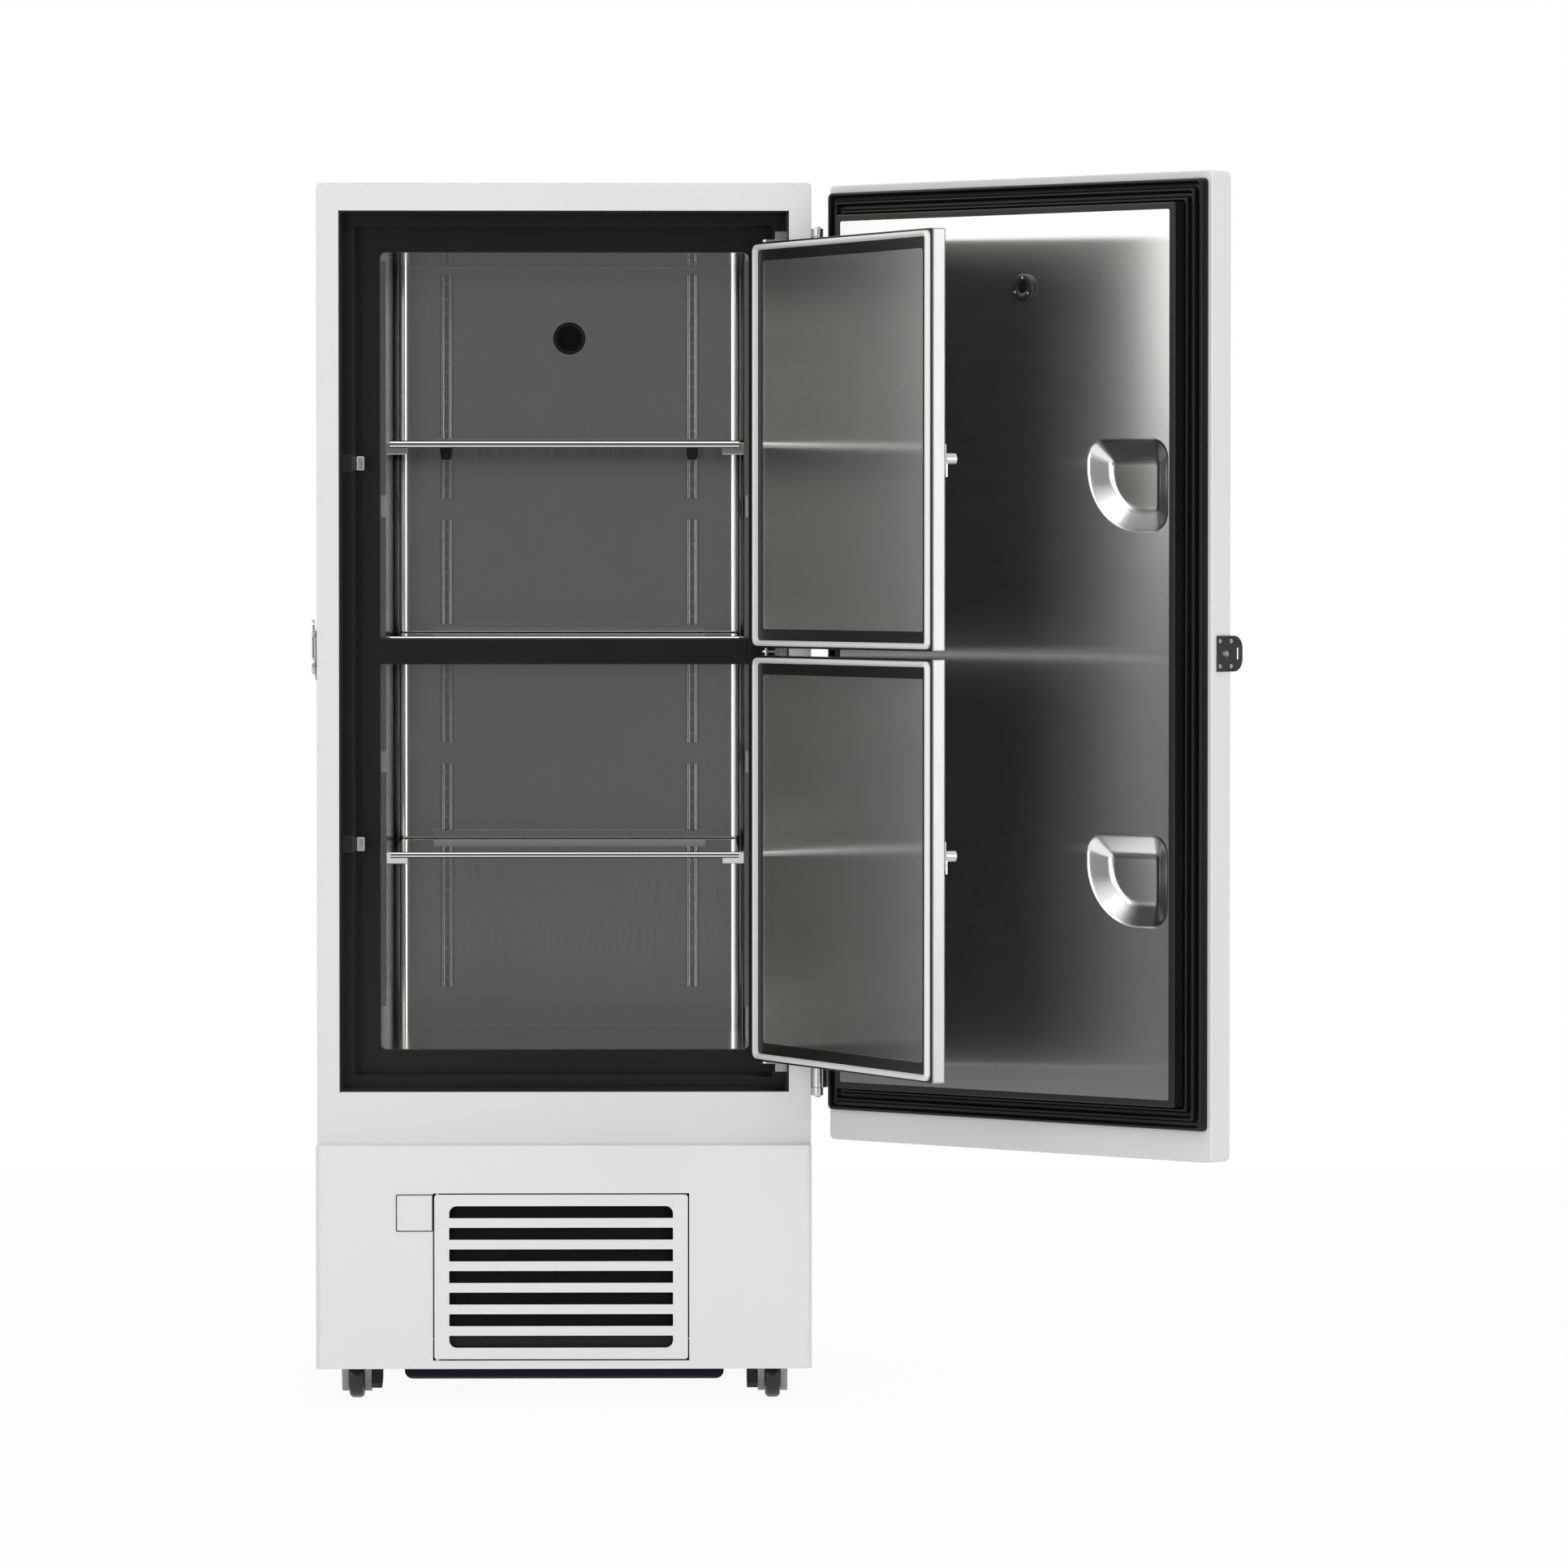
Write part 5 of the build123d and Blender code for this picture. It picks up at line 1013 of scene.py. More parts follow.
@dataclass
class OuterDoor:
    """Outer door, drawn shut and carried to its open place."""

    body: str = "outer_door"
    z: Pair = (425.0, 1968.0)
    inside: float = FRONT - 16.5
    edge: float = 9.0
    inner_edge: float = 2.0
    plug_half: float = 355.0
    plug: Pair = (511.0, 1919.0)
    plug_y: float = FRONT + 20.5
    plug_wall: float = 2.5
    plug_radii: Point = (4.0, 3.5, 3.0)
    plug_edge: float = 2.6
    border: float = 11.0
    lap: float = 0.5
    sheet_corner: float = 4.0
    pocket_x: Pair = (LEVER_X - 29.0, LEVER_X + 129.0)
    pocket_drop: float = 110.0
    pocket_rise: float = 29.0
    pocket_corner: Pair = (29.0, 0.72)
    pocket_arc: Pair = (100.0, 1.2)
    least_corner: float = 3.0
    press: Outline = ((-3.6, 0.0), (-1.6, 0.35), (0.2, 1.2), (3.0, 2.9), (24.0, 15.7), (27.0, 17.6),
                      (30.0, 18.9), (33.5, 19.7), (37.0, 20.0))
    gasket_half: Outline = ((1.0, 0.0), (1.0, 6.0), (1.6, 13.0), (3.0, 15.5), (4.8, 16.0), (6.4, 15.4),
                            (7.6, 13.0), (8.4, 7.5), (10.0, 6.0), (14.0, 6.0), (15.4, 8.0), (16.2, 13.5),
                            (17.6, 15.6))
    gasket_middle: Pair = (19.0, 16.0)
    gasket_corner: Pair = (3.0, 0.12)
    port_spot: Point = (-48.0, FRONT + 20.5, 1792.0)
    port_ring: Outline = ((8.0, 0.0), (22.0, 0.0), (22.0, 4.5), (20.5, 7.4), (18.0, 8.0), (13.0, 8.0),
                          (10.5, 6.5), (8.0, 6.0), (8.0, 0.0))
    port_flap: Outline = ((0.0, 1.0), (7.8, 1.0), (7.8, 3.0), (6.0, 3.6), (0.0, 3.2))
    port_screws: Point = (85.0, 205.0, 325.0)
    port_screw_place: Pair = (15.6, 7.9)
    port_screw_size: Pair = (2.2, 1.1)
    strike_x: float = -HALF - 3.0
    strike_y: Pair = (OUT + 8.0, FRONT - 32.5)
    strike_z: Pair = (1198.0, 1237.0)
    strike_pin: Outline = ((4.65, 0.2), (4.65, 8.0), (3.9, 9.1), (0.0, 9.1))
    pin_spot: Point = (-HALF - 3.0, FRONT - 39.5, 1217.5)
    hook_y: float = FRONT + 31.0
    hook_z: Pair = (1178.0, 1240.0)
    lock_screw: float = 3.2
    hinge_lows: Pair = (496.0, 1789.0)
    hinge_height: float = 110.0
    leaf_x: Pair = (HALF, HALF + 3.0)
    leaf_edge: float = 0.9
    arm_edge: float = 0.4
    fixed_leaf: Pair = (FRONT + 12.0, FRONT + 53.0)
    fixed_neck: Pair = (FRONT + 6.0, FRONT + 13.0)
    fixed_screws: Pair = (FRONT + 36.0, 25.0)
    moving_leaf: Pair = (FRONT - 60.5, FRONT)
    moving_screws: Pair = (FRONT - 44.5, 32.0)
    knuckle: Pair = (9.0, 13.0)
    knuckle_gap: float = 0.3
    knuckle_edge: float = 0.8
    pin: Pair = (4.0, 3.0)
    hinge_screw: Pair = (5.0, 2.2)
    handle_x: float = -338.0
    handle_z: Pair = (950.0, 1370.0)
    handle_radius: float = 13.0
    handle_edge: float = 5.0
    handle_reach: float = 48.0
    post_z: Pair = (990.0, 1330.0)
    post: Outline = ((0.0, 0.0), (13.5, 0.0), (13.5, 3.0), (11.0, 5.0), (9.0, 9.0), (9.0, 44.0), (0.0, 44.0))
    display_x: Pair = (-115.0, 115.0)
    display_z: Pair = (1590.0, 1730.0)
    bezel: tuple[Point, ...] = ((0.0, 0.0, 12.0), (0.0, 4.5, 12.0), (1.5, 6.0, 11.0), (11.0, 6.0, 6.0),
                                (14.0, 4.0, 5.0), (14.0, 0.0, 5.0))
    glass_inset: float = 13.5
    glass_y: Pair = (OUT - 4.2, OUT - 0.5)

    def build(self) -> None:
        """Make every piece of the door."""
        self.pan()
        self.plug_frame()
        self.lining()
        self.gasket()
        self.port()
        self.lock()
        self.hinges()
        self.front_trim()

    def pan(self) -> None:
        """White pan with a wide front radius."""
        shape = Shape()
        shape.box((-HALF, HALF), (OUT, self.inside), self.z)
        shape.bevel_where(lambda m, d: m.y < OUT + NEAR or (abs(m.x) > HALF - NEAR and abs(d.y) > ALONG),
                          self.edge, 6)
        shape.bevel_where(lambda m, d: m.y > self.inside - NEAR, self.inner_edge, 3)
        shape.piece("door_pan", self.body, Slot.WHITE_PAINT, "door_shell", place=OUTER_PLACE)

    def plug_frame(self) -> None:
        """Black raised step with rounded shoulders."""
        low, high, wall, border = self.inside, self.plug_y, self.plug_wall, self.border
        outer, middle, inner = self.plug_radii
        steps = ((0.0, low, outer), (0.0, high, outer), (border, high, inner), (border, high - wall, inner),
                 (wall, high - wall, middle), (wall, low, middle))
        shape = Shape().ring((-self.plug_half, self.plug_half), self.plug, steps)
        x, z = self.plug_half - wall, grow(self.plug, -wall)
        shape.bevel_where(lambda m, d: abs(m.y - high) < NEAR and not (abs(m.x) < x and z[0] < m.z < z[1]),
                          self.plug_edge, 4)
        shape.piece("door_plug_step", self.body, Slot.BREAKER, "door_plug_frame", place=OUTER_PLACE)

    def rim(self, shape: Shape, lever_z: float, inset: float, depth: float) -> Edges:
        """One run of edges round a pressed pocket.

        Args:
            shape: Mesh that takes it.
            lever_z: Height of the lever that the pocket clears.
            inset: How far it lies inside the pocket's outline.
            depth: How far it lies below the sheet.

        Returns:
            The edges.
        """
        corner = max(self.pocket_corner[0] - self.pocket_corner[1] * inset, self.least_corner)
        arc = self.pocket_arc[0] - self.pocket_arc[1] * inset
        z = (lever_z - self.pocket_drop, lever_z + self.pocket_rise)
        return shape.loop(grow(self.pocket_x, -inset), grow(z, -inset), self.plug_y - depth,
                          (corner, arc, corner, corner), 12)

    def lining(self) -> None:
        """Steel sheet, and in it a pressed pocket with a rolled rim over each inner door lever; the pockets
        take a lighter steel as painted light.
        """
        pockets = Shape()
        for height in LEVER_Z:
            runs = [self.rim(pockets, height, inset, depth) for inset, depth in self.press]
            for first, second in zip(runs, runs[1:]):
                pockets.bridge(first, second)
            bmesh.ops.contextual_create(pockets.bm, geom=runs[-1])
        # The pockets take the lighter steel, which is painted light
        pockets.piece("door_pockets", self.body, Slot.STAINLESS, place=OUTER_PLACE, smooth=PRESSED,
                      finish=PAINTED_LIGHT_POCKET_STEEL)
        shape = Shape()
        mouths = [self.rim(shape, height, *self.press[0]) for height in LEVER_Z]
        inset = self.lap - self.border
        outline = shape.loop(about(0.0, self.plug_half + inset), grow(self.plug, inset), self.plug_y,
                             self.sheet_corner, 4)
        shape.fill(outline, *mouths)
        shape.piece("door_lining", self.body, Slot.STAINLESS, "door_liner", place=OUTER_PLACE,
                    smooth=PRESSED, finish=DOOR_SHEET)

    def gasket(self) -> None:
        """Black strip with three soft ribs, drawn as one half and its mirror image."""
        middle = self.gasket_middle
        mirrored = [(2 * middle[0] - out, rise) for out, rise in reversed(self.gasket_half)]
        corner, share = self.gasket_corner
        section = [(-out, self.inside + rise, corner + share * out)
                   for out, rise in (*self.gasket_half, middle, *mirrored)]
        shape = Shape().ring((-self.plug_half, self.plug_half), self.plug, section)
        shape.piece("door_ribbed_gasket", self.body, Slot.RUBBER, "door_gasket", place=OUTER_PLACE,
                    smooth=RIBBED)

    def port(self) -> None:
        """Pressure relief port: ring, a small flap in its bore, and three screws."""
        ring = Shape().lathe(self.port_ring, self.port_spot, REARWARD)
        ring.piece("pressure_port_ring", self.body, Slot.PORT, "pressure_port", place=OUTER_PLACE)
        flap = Shape().lathe(self.port_flap, self.port_spot, REARWARD, 32)
        flap.piece("pressure_port_flap", self.body, Slot.RUBBER, place=OUTER_PLACE)
        heads = Shape()
        radius, rise = self.port_screw_place
        x, y, z = self.port_spot
        for angle in map(math.radians, self.port_screws):
            seat = (x - radius * math.cos(angle), y + rise, z + radius * math.sin(angle))
            heads.screw(seat, REARWARD, *self.port_screw_size)
        heads.piece("pressure_port_screws", self.body, Slot.BRIGHT, place=OUTER_PLACE)

    def lock(self) -> None:
        """Strike plate with its pin and four screws on the free edge, and the hook on the cabinet."""
        dress("strike_plate", "strike_plate_pressing", self.body, Slot.DARK, edge=0.5)
        bright = Shape()
        for y in self.strike_y:
            for z in self.strike_z:
                bright.screw((self.strike_x, y, z), LEFT, self.lock_screw)
        bright.lathe(self.strike_pin, self.pin_spot, LEFT, 32)
        bright.piece("strike_pin_and_screws", self.body, Slot.BRIGHT, place=OUTER_PLACE)
        screws = [((self.strike_x, self.hook_y, z), LEFT, self.lock_screw) for z in self.hook_z]
        dress("hook_pivot_plate", "hook_plate", "cabinet", Slot.BRIGHT, edge=0.5, screws=screws)
        dress("door_hook", "swing_hook", "door_hook", Slot.BRIGHT, edge=0.7, segments=3)

    def hinges(self) -> None:
        """Leaves, knuckles and pins of both hinges."""
        fixed, moving = Shape(), Shape()
        axis_x, axis_y = OUTER_HINGE
        radius, length = self.knuckle
        arm_x = (HALF, axis_x)
        for low in self.hinge_lows:
            high = low + self.hinge_height
            fixed.box(self.leaf_x, self.fixed_leaf, (low, high), self.leaf_edge)
            for start in (low, high - length):
                z = (start, start + length)
                fixed.bar((axis_x, axis_y, start), UP, radius, length, self.knuckle_edge)
                fixed.box(arm_x, (axis_y, axis_y + radius), z, self.arm_edge)
                fixed.box(self.leaf_x, self.fixed_neck, z)
            pin_radius, past = self.pin
            fixed.bar((axis_x, axis_y, low - past), UP, pin_radius, self.hinge_height + 2 * past,
                      self.knuckle_edge, 24)
            z = grow((low, high), -length - self.knuckle_gap)
            moving.box(self.leaf_x, self.moving_leaf, z, self.leaf_edge)
            moving.box(arm_x, (axis_y - radius, axis_y), z, self.arm_edge)
            moving.bar((axis_x, axis_y, z[0]), UP, radius, z[1] - z[0], self.knuckle_edge)
            for half, (y, inset) in ((fixed, self.fixed_screws), (moving, self.moving_screws)):
                for height in grow((low, high), -inset):
                    half.screw((self.leaf_x[1], y, height), RIGHT, *self.hinge_screw)
        fixed.piece("hinge_cabinet_halves", "cabinet", Slot.BRIGHT, "hinge_cabinet_leaves")
        moving.piece("hinge_door_halves", self.body, Slot.BRIGHT, "hinge_door_leaves", place=OUTER_PLACE)

    def front_trim(self) -> None:
        """Bar handle and touch display on the outer face."""
        low, high = self.handle_z
        shape = Shape()
        shape.bar((self.handle_x, OUT - self.handle_reach, low), UP, self.handle_radius, high - low,
                  self.handle_edge, 48)
        for z in self.post_z:
            shape.lathe(self.post, (self.handle_x, OUT, z), FORWARD, 40)
        shape.piece("door_bar_handle", self.body, Slot.HANDLE, "door_handle", place=OUTER_PLACE)
        bezel = Shape().ring(self.display_x, self.display_z,
                             [(inset, OUT - rise, radius) for inset, rise, radius in self.bezel])
        bezel.piece("display_bezel", self.body, Slot.HANDLE, "door_display", place=OUTER_PLACE)
        inset = -self.glass_inset
        glass = Shape().box(grow(self.display_x, inset), self.glass_y, grow(self.display_z, inset), edge=0.8)
        glass.piece("display_glass", self.body, Slot.DISPLAY, place=OUTER_PLACE)


@dataclass
class InnerDoor:
    """One inner door with its seal and lever, drawn shut and carried open."""

    name: str
    z: Pair
    lever_z: float
    x: Pair = (-320.0, 336.0)
    front: float = FRONT + 34.0
    back: float = FRONT + 59.0
    pan_edge: float = 2.6
    band: float = 2.5
    band_width: float = 31.0
    band_inset: float = 0.3
    band_radii: Pair = (3.0, 5.0)
    band_edge: float = 0.9
    panel_y: Pair = (-1.8, -0.3)
    panel_lap: float = 0.6
    skin_inset: float = 3.0
    skin_y: Pair = (-0.25, 0.5)
    base_x: Pair = (0.4, 19.4)
    base_y: Pair = (-2.0, 1.0)
    base_half: float = 23.0
    screw_half: float = 17.0
    screw_x: float = 10.0
    screw: Pair = (3.0, 1.6)
    bulb: Outline = ((3.5, 0.0), (3.5, 2.0), (3.9, 5.0), (5.2, 7.2), (7.2, 8.0), (9.2, 7.4), (10.8, 5.6),
                     (11.6, 3.0), (12.5, 1.2), (12.5, 0.0))
    bulb_corner: Point = (14.0, 0.6, 4.0)

    @property
    def body(self) -> str:
        """Body that the door is."""
        return f"{self.name}_inner_door"

    def build(self) -> None:
        """Make the pan, frame, panel, seal and lever."""
        self.pan()
        self.frame()
        self.seal()
        dress(f"{self.body}_lever", f"{self.body}_turn_lever", f"{self.name}_lever", Slot.BRIGHT, edge=1.4,
              segments=3)

    def pan(self) -> None:
        """Steel pan with the base of the lever."""
        left, front = self.x[0], self.front
        pan = Shape()
        pan.box(self.x, (front, self.back - self.band), self.z, self.pan_edge, 4)
        pan.box(shift(self.base_x, left), shift(self.base_y, front), about(self.lever_z, self.base_half),
                edge=0.8)
        for z in about(self.lever_z, self.screw_half):
            pan.screw((left + self.screw_x, front + self.base_y[0], z), FORWARD, *self.screw)
        pan.piece(f"{self.body}_skin", self.body, Slot.STAINLESS, f"{self.body}_pan", place=INNER_PLACE,
                  finish=PAN)

    def frame(self) -> None:
        """Black band round the steel panel, and the sheet on the other side in a darkened steel that is
        painted shade.
        """
        back, front, width = self.back, self.front, self.band_width
        outer, inner = self.band_radii
        band = Shape().ring(self.x, self.z, ((self.band_inset, back - self.band, outer),
                                             (self.band_inset, back, outer), (width, back, inner),
                                             (width, back - self.band, inner)))
        band.bevel_sharp(self.band_edge, 3, SQUARE)
        band.piece(f"{self.body}_band", self.body, Slot.BREAKER, f"{self.body}_frame", place=INNER_PLACE)
        inset = self.panel_lap - width
        sheet = Shape().box(grow(self.x, inset), shift(self.panel_y, back), grow(self.z, inset), edge=0.6)
        sheet.piece(f"{self.body}_sheet", self.body, Slot.STAINLESS, f"{self.body}_panel", place=INNER_PLACE,
                    finish=BRUSHED)
        # The outer sheet takes the darkened steel as painted shade
        inset = -self.skin_inset
        skin = Shape().box(grow(self.x, inset), shift(self.skin_y, front), grow(self.z, inset), edge=0.2)
        skin.piece(f"{self.body}_outer_shade_sheet", self.body, Slot.STAINLESS, place=INNER_PLACE, finish=PAINTED_SHADE_STEEL)

    def seal(self) -> None:
        """White bulb seal with round corners."""
        corner, share, least = self.bulb_corner
        section = [(inset, self.back + rise, max(corner - share * inset, least))
                   for inset, rise in self.bulb]
        Shape().ring(self.x, self.z, section).piece(f"{self.body}_bulb_seal", self.body, Slot.SEAL,
                                                    f"{self.body}_gasket", place=INNER_PLACE, smooth=BULGED)


@dataclass
class Base:
    """Machine compartment: housing, grille door, tray and the bare plate."""

    z: Pair = (59.0, 420.0)
    corner: float = 12.0
    top_edge: float = 2.0
    sheet: float = 1.5
    grille_x: Pair = (-209.0, 200.0)
    grille_z: Pair = (74.5, 340.5)
    grille_gap: float = 2.2
    grille_corner: float = 5.0
    grille_edge: float = 0.7
    grille_depths: Pair = (3.0, 11.0)
    flange_insets: Pair = (0.3, 3.0)
    flange_corner: float = 4.0
    ear: Point = (10.0, 8.5, 3.0)
    pivot: Point = (5.0, 2.5, 12.5)
    pivot_inset: float = 8.0
    slots: int = 7
    slot_size: Pair = (361.0, 19.6)
    slot_pitch: float = 34.9
    slot_corner: float = 1.2
    end_corner: float = 12.0
    seal_y: Pair = (OUT + 14.6, OUT + 16.6)
    seal_reach: float = 7.0
    seal_lap: float = 4.0
    seal_edge: float = 0.4
    # Place and lap of the black skirt under the dust filter, which is painted shadow
    shade_skirt_y: Pair = (-0.3, 2.5)
    shade_skirt_lap: float = 2.0
    plate_x: Pair = (-269.6, -212.0)
    plate_z: Pair = (282.0, 340.0)
    plate: float = 0.8
    plate_edge: float = 0.35
    rim: float = 1.1
    rim_insets: Pair = (-0.9, 0.6)
    rim_radii: Pair = (2.0, 1.2)
    tray_rim: float = 12.0
    tray_edge: float = 15.0
    tray_sheet: float = 2.0
    tray_rim_edge: float = 0.6

    def build(self) -> None:
        """Make the housing, the grille, the tray and the plate."""
        self.housing()
        self.grille()
        self.grille_seal_and_shade_skirt()
        self.tray()
        self.bare_plate()

    def housing(self) -> None:
        """White wrap with round front corners, an opening for the grille and two ears for its pivots."""
        lows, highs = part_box("base_housing")
        high = self.z[1]
        shape = Shape()
        shape.box((lows.x / MM, highs.x / MM), (OUT, BACK), self.z)
        shape.bevel_where(lambda m, d: m.y < OUT + NEAR and abs(d.z) > ALONG, self.corner, 10)
        shape.remove_where(lambda m, n: n.y > ALONG or n.z < -ALONG)
        shape.bevel_where(lambda m, d: m.z > high - NEAR and abs(d.z) < ACROSS and m.y < BACK - NEAR,
                          self.top_edge, 3)
        x, z = grow(self.grille_x, self.grille_gap), grow(self.grille_z, self.grille_gap)
        shape.window(x, OUT, z)
        shape.thicken(self.sheet)
        width, depth, height = self.ear
        left, behind = self.grille_x[0], OUT + self.sheet
        for low in (z[0] - height, z[1]):
            shape.box((left, left + width), (behind, behind + depth), (low, low + height))
        shape.piece("base_wrap", "cabinet", Slot.BASE_PAINT, "base_housing", smooth=CRISP)

    def grille(self) -> None:
        """Moulded grille door with seven slots; the outermost slots have wide corners."""
        x, z, near = self.grille_x, self.grille_z, self.grille_corner
        face, rear = OUT + self.grille_depths[0], OUT + self.grille_depths[1]
        shape = Shape()
        outline = shape.loop(x, z, OUT, near)
        holes = [self.slot(shape, index) for index in range(self.slots)]
        shape.fill(outline, *holes)
        grown = bmesh.ops.extrude_face_region(shape.bm, geom=list(shape.bm.faces))["geom"]
        moved = [part for part in grown if isinstance(part, bmesh.types.BMVert)]
        bmesh.ops.translate(shape.bm, vec=(0.0, self.grille_depths[0], 0.0), verts=moved)
        bmesh.ops.recalc_face_normals(shape.bm, faces=list(shape.bm.faces))
        inner_x, inner_z = grow(x, -NEAR / 2), grow(z, -NEAR / 2)
        shape.bevel_where(lambda m, d: abs(m.y - OUT) < NEAR
                          and not (inner_x[0] <= m.x <= inner_x[1] and inner_z[0] <= m.z <= inner_z[1]),
                          self.grille_edge, 2)
        outer, inner = self.flange_insets
        shape.ring(x, z, ((outer, face, near), (outer, rear, near), (inner, rear, self.flange_corner),
                          (inner, face, self.flange_corner)))
        inset, radius, length = self.pivot
        for end, way in zip(z, SIDES):
            start = (x[0] + inset, OUT + inset, end - way * self.pivot_inset)
            shape.bar(start, (0.0, 0.0, way), radius, length, edge=0.4, sides=20)
        shape.piece("grille_moulding", "grille", Slot.GRILLE, "grille_door", smooth=CRISP)

    def slot(self, shape: Shape, index: int) -> Edges:
        """One slot of the grille.

        Args:
            shape: Mesh that takes it.
            index: Its number from below.

        Returns:
            Its run of edges.
        """
        width, height = self.slot_size
        last = self.slots - 1
        middle = sum(self.grille_z) / 2 + (index - last / 2) * self.slot_pitch
        low = self.end_corner if index == 0 else self.slot_corner
        high = self.end_corner if index == last else self.slot_corner
        return shape.loop(about(sum(self.grille_x) / 2, width / 2), about(middle, height / 2), OUT,
                          (low, low, high, high))

    def grille_seal_and_shade_skirt(self) -> None:
        """Black strips behind the grille's gap, and a black skirt below the dust filter as painted shadow,
        so that the lowest slot reads dark.
        """
        lows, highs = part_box("dust_filter")
        x, z, lap, edge = self.grille_x, self.grille_z, self.seal_lap, self.seal_edge
        outer_x, inner_x = grow(x, self.seal_reach), grow(x, -lap)
        outer_z, inner_z = grow(z, self.seal_reach), grow(z, -lap)
        shape = Shape()
        for side in ((outer_x[0], inner_x[0]), (inner_x[1], outer_x[1])):
            shape.box(side, self.seal_y, outer_z, edge)
        for end in ((outer_z[0], inner_z[0]), (inner_z[1], outer_z[1])):
            shape.box(inner_x, self.seal_y, end, edge)
        # The skirt is painted shadow: a black strip that makes the lowest slot read dark
        shape.box((lows.x / MM, highs.x / MM), shift(self.shade_skirt_y, lows.y / MM),
                  (inner_z[0], lows.z / MM + self.shade_skirt_lap), edge)
        shape.piece("grille_seal_and_shade_skirt", "cabinet", Slot.RUBBER)

    def tray(self) -> None:
        """Dark tray under the chassis, with round lower edges."""
        lows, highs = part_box("drip_tray")
        x, y, z = ((lows[i] / MM, highs[i] / MM) for i in range(3))
        shape = Shape()
        shape.box(grow(x, -self.tray_rim), grow(y, -self.tray_rim), z)
        shape.bevel_where(lambda m, d: m.z < z[0] + NEAR, self.tray_edge, 6)
        shape.remove_where(lambda m, n: n.z > ALONG)
        shape.thicken(self.tray_sheet)
        shape.box(x, y, (z[1] - self.tray_sheet, z[1]), self.tray_rim_edge)
        shape.piece("tray_moulding", "cabinet", Slot.TRAY, "drip_tray")

    def bare_plate(self) -> None:
        """Small blank plate beside the grille, with a thin dark rim."""
        plate = Shape().box(self.plate_x, (OUT - self.plate, OUT), self.plate_z, self.plate_edge)
        plate.piece("bare_plate", "cabinet", Slot.BASE_PAINT)
        face = OUT - self.rim
        (outer, inner), (wide, tight) = self.rim_insets, self.rim_radii
        rim = Shape().ring(self.plate_x, self.plate_z, ((outer, OUT, wide), (outer, face, wide),
                                                        (inner, face, tight), (inner, OUT, tight)), 4)
        rim.piece("bare_plate_rim", "cabinet", Slot.CLIP)


@dataclass
class Casters:
    """Four swivel casters, the front pair with a foot brake."""

    x: float = 338.0
    rows: Pair = (FRONT + 40.0, BACK - 70.0)
    trail: float = 24.0
    radius: float = 37.5
    width: float = 25.0
    flank: Outline = ((5.1, 0.0), (9.0, 0.0), (10.0, 1.0), (26.0, 1.5), (28.0, 0.0), (31.5, 0.0),
                      (35.0, 1.8), (37.5, 6.0))

    def build(self) -> None:
        """Make forks, wheels and pedals."""
        for row, y in zip(("front", "rear"), self.rows):
            for hand, side in zip(("left", "right"), SIDES):
                self.caster(f"{row}_{hand}", side * self.x, y, row == "front")

    def caster(self, name: str, x: float, y: float, braked: bool) -> None:
        """One caster.

        Args:
            name: Corner that it stands at.
            x: Place of its kingpin.
            y: Place of its kingpin.
            braked: Whether it has a pedal.
        """
        dress(f"{name}_caster_fork", f"{name}_fork", f"{name}_swivel", Slot.CASTER, edge=1.6, segments=3)
        half = self.width / 2
        near = [(radius, depth - half) for radius, depth in self.flank]
        far = [(radius, half - depth) for radius, depth in reversed(self.flank)]
        wheel = Shape().lathe((*near, *far, near[0]), (x, y + self.trail, self.radius), RIGHT, 64)
        wheel.piece(f"{name}_tread_wheel", f"{name}_wheel", Slot.TYRE, f"{name}_caster_wheel")
        if braked:
            dress(f"{name}_caster_brake", f"{name}_brake_pedal", f"{name}_brake", Slot.CLIP, edge=1.4,
                  segments=3)


@dataclass
class Machinery:
    """What sits in the base and behind the skins."""

    soft: tuple[tuple[str, str, Slot, float], ...] = (
        ("base_chassis", "chassis_plate", Slot.GALVANISED, 0.6),
        ("control_box", "control_case", Slot.GALVANISED, 1.2),
        ("fan_shroud", "fan_shroud_plate", Slot.GALVANISED, 0.5),
        ("dust_filter", "filter_mat", Slot.FILTER, 0.6),
        ("condenser", "condenser_block", Slot.FINS, 0.5),
        ("compressors", "compressor_cans", Slot.COMPRESSOR, 1.5),
        ("inner_hinge_brackets", "inner_hinge_arms", Slot.BRIGHT, 0.5),
    )
    plain: tuple[tuple[str, Slot], ...] = (
        ("insulation_panels", Slot.FOAM),
        ("door_insulation", Slot.FOAM),
        ("evaporator_coil", Slot.COPPER),
        ("fan_blades", Slot.FAN),
    )

    def build(self) -> None:
        """Soften the edges of what can be seen and finish the rest."""
        for node, name, slot, edge in self.soft:
            dress(node, name, "cabinet", slot, edge)
        for node, slot in self.plain:
            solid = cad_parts[node]
            solid.data.materials.clear()
            solid.data.materials.append(FINISHES[slot].material())
            log.info("%s keeps its solid", node)


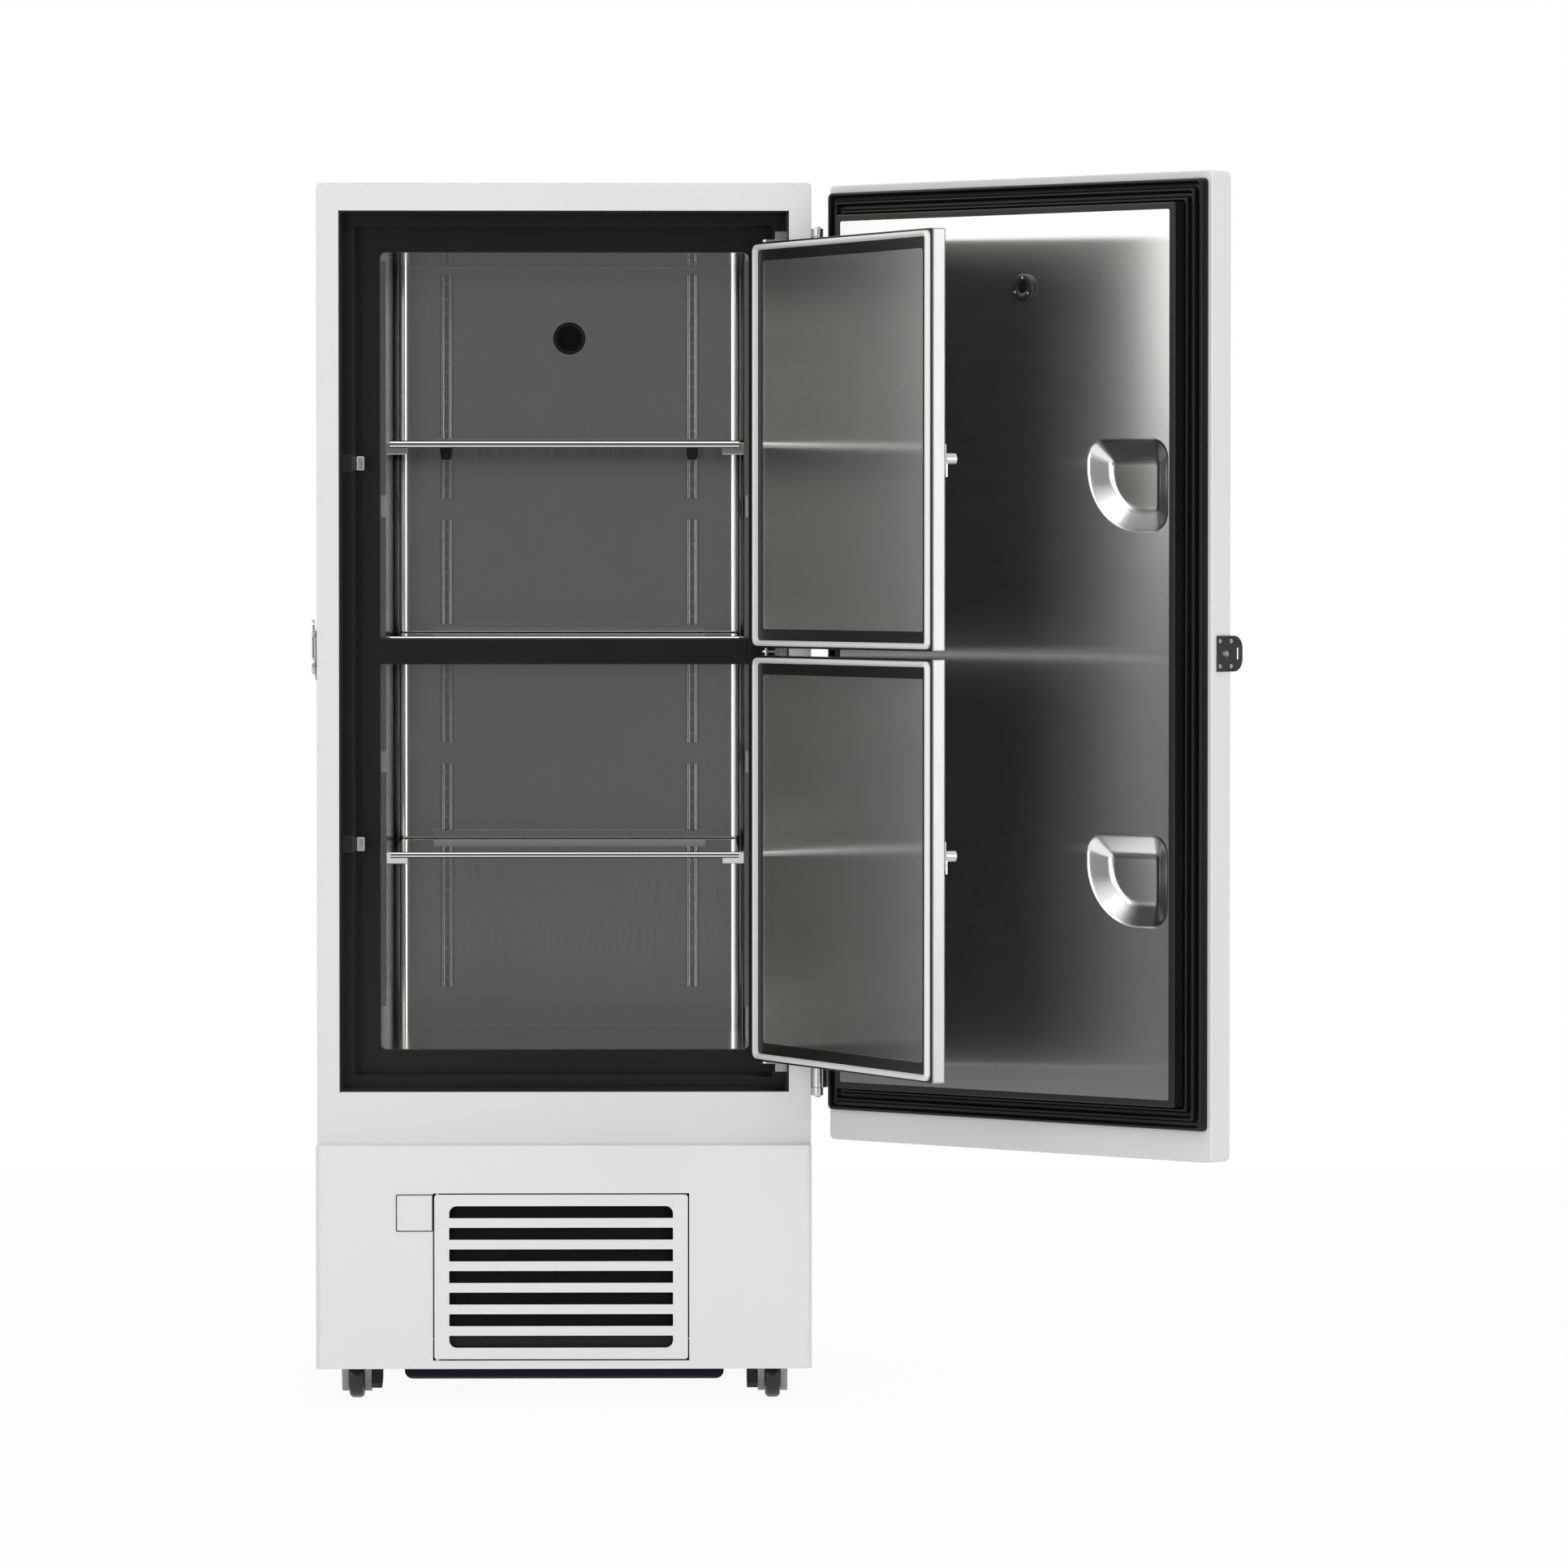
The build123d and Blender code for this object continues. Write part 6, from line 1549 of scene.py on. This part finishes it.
@dataclass
class Studio:
    """Camera, floor and soft lamps; places in metres, power in watts."""

    eye: Point = (0.163, -13.635, 1.354)
    target: Point = (0.356, -0.435, 1.001)
    lens: float = 187.24
    sensor: float = 36.0
    sight: float = 100.0
    floor_size: float = 9.0
    floor_greys: Pair = (0.90, 0.93)
    floor_glow: float = 0.94
    room_level: float = 0.165
    fill_level: float = 0.60
    beside_level: float = 0.08
    flank_level: float = 0.06
    lamps: tuple[tuple[str, Point, Point, Pair, float], ...] = (
        ("left_strip", (-2.9, -5.6, 1.6), (0.0, -0.2, 1.1), (2.0, 3.2), 55.0),
        ("right_strip", (2.9, -5.6, 1.6), (0.0, -0.2, 1.1), (1.3, 3.2), 32.0),
        ("edge_strip", (4.4, -4.4, 1.8), (0.6, -0.9, 1.1), (1.2, 3.4), 45.0),
        ("top_soft", (0.0, -2.6, 5.2), (0.0, 0.0, 0.9), (4.0, 3.0), 52.0),
    )

    def build(self) -> None:
        """Set up the view, the floor and the light."""
        self.camera()
        self.floor()
        self.world()
        for name, spot, target, size, power in self.lamps:
            self.lamp(name, spot, target, size, power)

    def stand(self, name: str, data: bpy.types.ID, spot: Point, target: Point) -> bpy.types.Object:
        """Put a camera or a lamp in its place.

        Args:
            name: Name of the object.
            data: The camera or the lamp.
            spot: Where it stands.
            target: What it faces.

        Returns:
            The object.
        """
        made = bpy.data.objects.new(name, data)
        made.location = spot
        made.rotation_euler = (Vector(target) - Vector(spot)).to_track_quat("-Z", "Y").to_euler()
        bpy.context.scene.collection.objects.link(made)
        return made

    def camera(self) -> None:
        """Long lens at the photograph's place, turned to its middle."""
        data = bpy.data.cameras.new("camera")
        data.lens = self.lens
        data.sensor_width = self.sensor
        data.clip_end = self.sight
        bpy.context.scene.camera = self.stand("camera", data, self.eye, self.target)
        bpy.context.scene.view_settings.view_transform = "Standard"

    def lamp(self, name: str, spot: Point, target: Point, size: Pair, power: float) -> None:
        """Soft rectangular lamp that faces a target.

        Args:
            name: Name of the lamp.
            spot: Where it stands.
            target: What it faces.
            size: Width and height.
            power: Its power.
        """
        data = bpy.data.lights.new(name, "AREA")
        data.shape = "RECTANGLE"
        data.size, data.size_y = size
        data.energy = power
        self.stand(name, data, spot, target)

    def floor(self) -> None:
        """White floor that keeps the shadow."""
        bm = bmesh.new()
        bmesh.ops.create_grid(bm, x_segments=1, y_segments=1, size=self.floor_size / 2)
        mesh = bpy.data.meshes.new("floor")
        bm.to_mesh(mesh)
        bm.free()
        ground = bpy.data.objects.new("floor", mesh)
        bpy.context.scene.collection.objects.link(ground)
        recipe = Recipe("pale_floor")
        low, high = ((grey, grey, grey) for grey in self.floor_greys)
        recipe.close(Base_Color=recipe.tint(low, high, recipe.noise(scale=0.7)), Roughness=0.9)
        glow = recipe.node("ShaderNodeEmission", None, {"Color": (1.0, 1.0, 1.0, 1.0), "Strength": 1.0})
        skin = Value(recipe, recipe.shader.outputs[0])
        seen = recipe.rays("Camera", "Glossy", "Transmission") > 0.5
        mixed = recipe.node("ShaderNodeMixShader", None, {0: seen * self.floor_glow, 1: skin, 2: glow})
        recipe.feed(recipe.tree.nodes["Material Output"].inputs["Surface"], mixed)
        mesh.materials.append(recipe.material)

    def world(self) -> None:
        """White behind, above and high on the left, darker behind the camera."""
        world = bpy.data.worlds.new("studio")
        bpy.context.scene.world = world
        world.use_nodes = True
        recipe = Recipe("studio", world.node_tree)
        way = recipe.node("ShaderNodeTexCoord", output="Generated")
        x, y, z = (recipe.node("ShaderNodeSeparateXYZ", None, {0: way}, axis) for axis in "XYZ")
        behind = recipe.ease(y, low=-0.05, high=0.35, top=1.0)
        above = recipe.ease(z, low=0.2, high=0.6, top=0.9)
        flank = recipe.ease(x, low=-0.90, high=-0.97, top=1.0)
        beside = recipe.ease(x, low=-0.55, high=-0.78, top=1.0) * (1.0 - flank)
        left = (beside * (self.beside_level + recipe.ease(z, low=0.0, high=0.035, top=2.2))
                + flank * (self.flank_level + recipe.ease(z, low=0.0, high=0.024, top=1.7)))
        room = behind.peak(left).peak(above).peak(self.room_level)
        camera = recipe.rays("Camera")
        mirror = recipe.rays("Glossy", "Transmission")
        level = camera + (1.0 - camera) * (mirror * room + (1.0 - mirror) * self.fill_level)
        sky = world.node_tree.nodes["Background"]
        recipe.feed(sky.inputs["Strength"], level)
        recipe.feed(sky.inputs["Color"], (1.0, 1.0, 1.0, 1.0))


def main() -> None:
    """Build the freezer piece by piece, then the studio."""
    logging.basicConfig(level=logging.INFO, format="%(message)s")
    upper = InnerDoor("upper", (1221.0, 1878.0), LEVER_Z[0])
    lower = InnerDoor("lower", (550.0, 1209.0), LEVER_Z[1])
    for part in (Cabinet(), Chamber(), OuterDoor(), upper, lower, Base(), Casters(), Machinery(), Studio()):
        log.info("building %s", type(part).__name__)
        part.build()


if __name__ == "__main__":
    main()
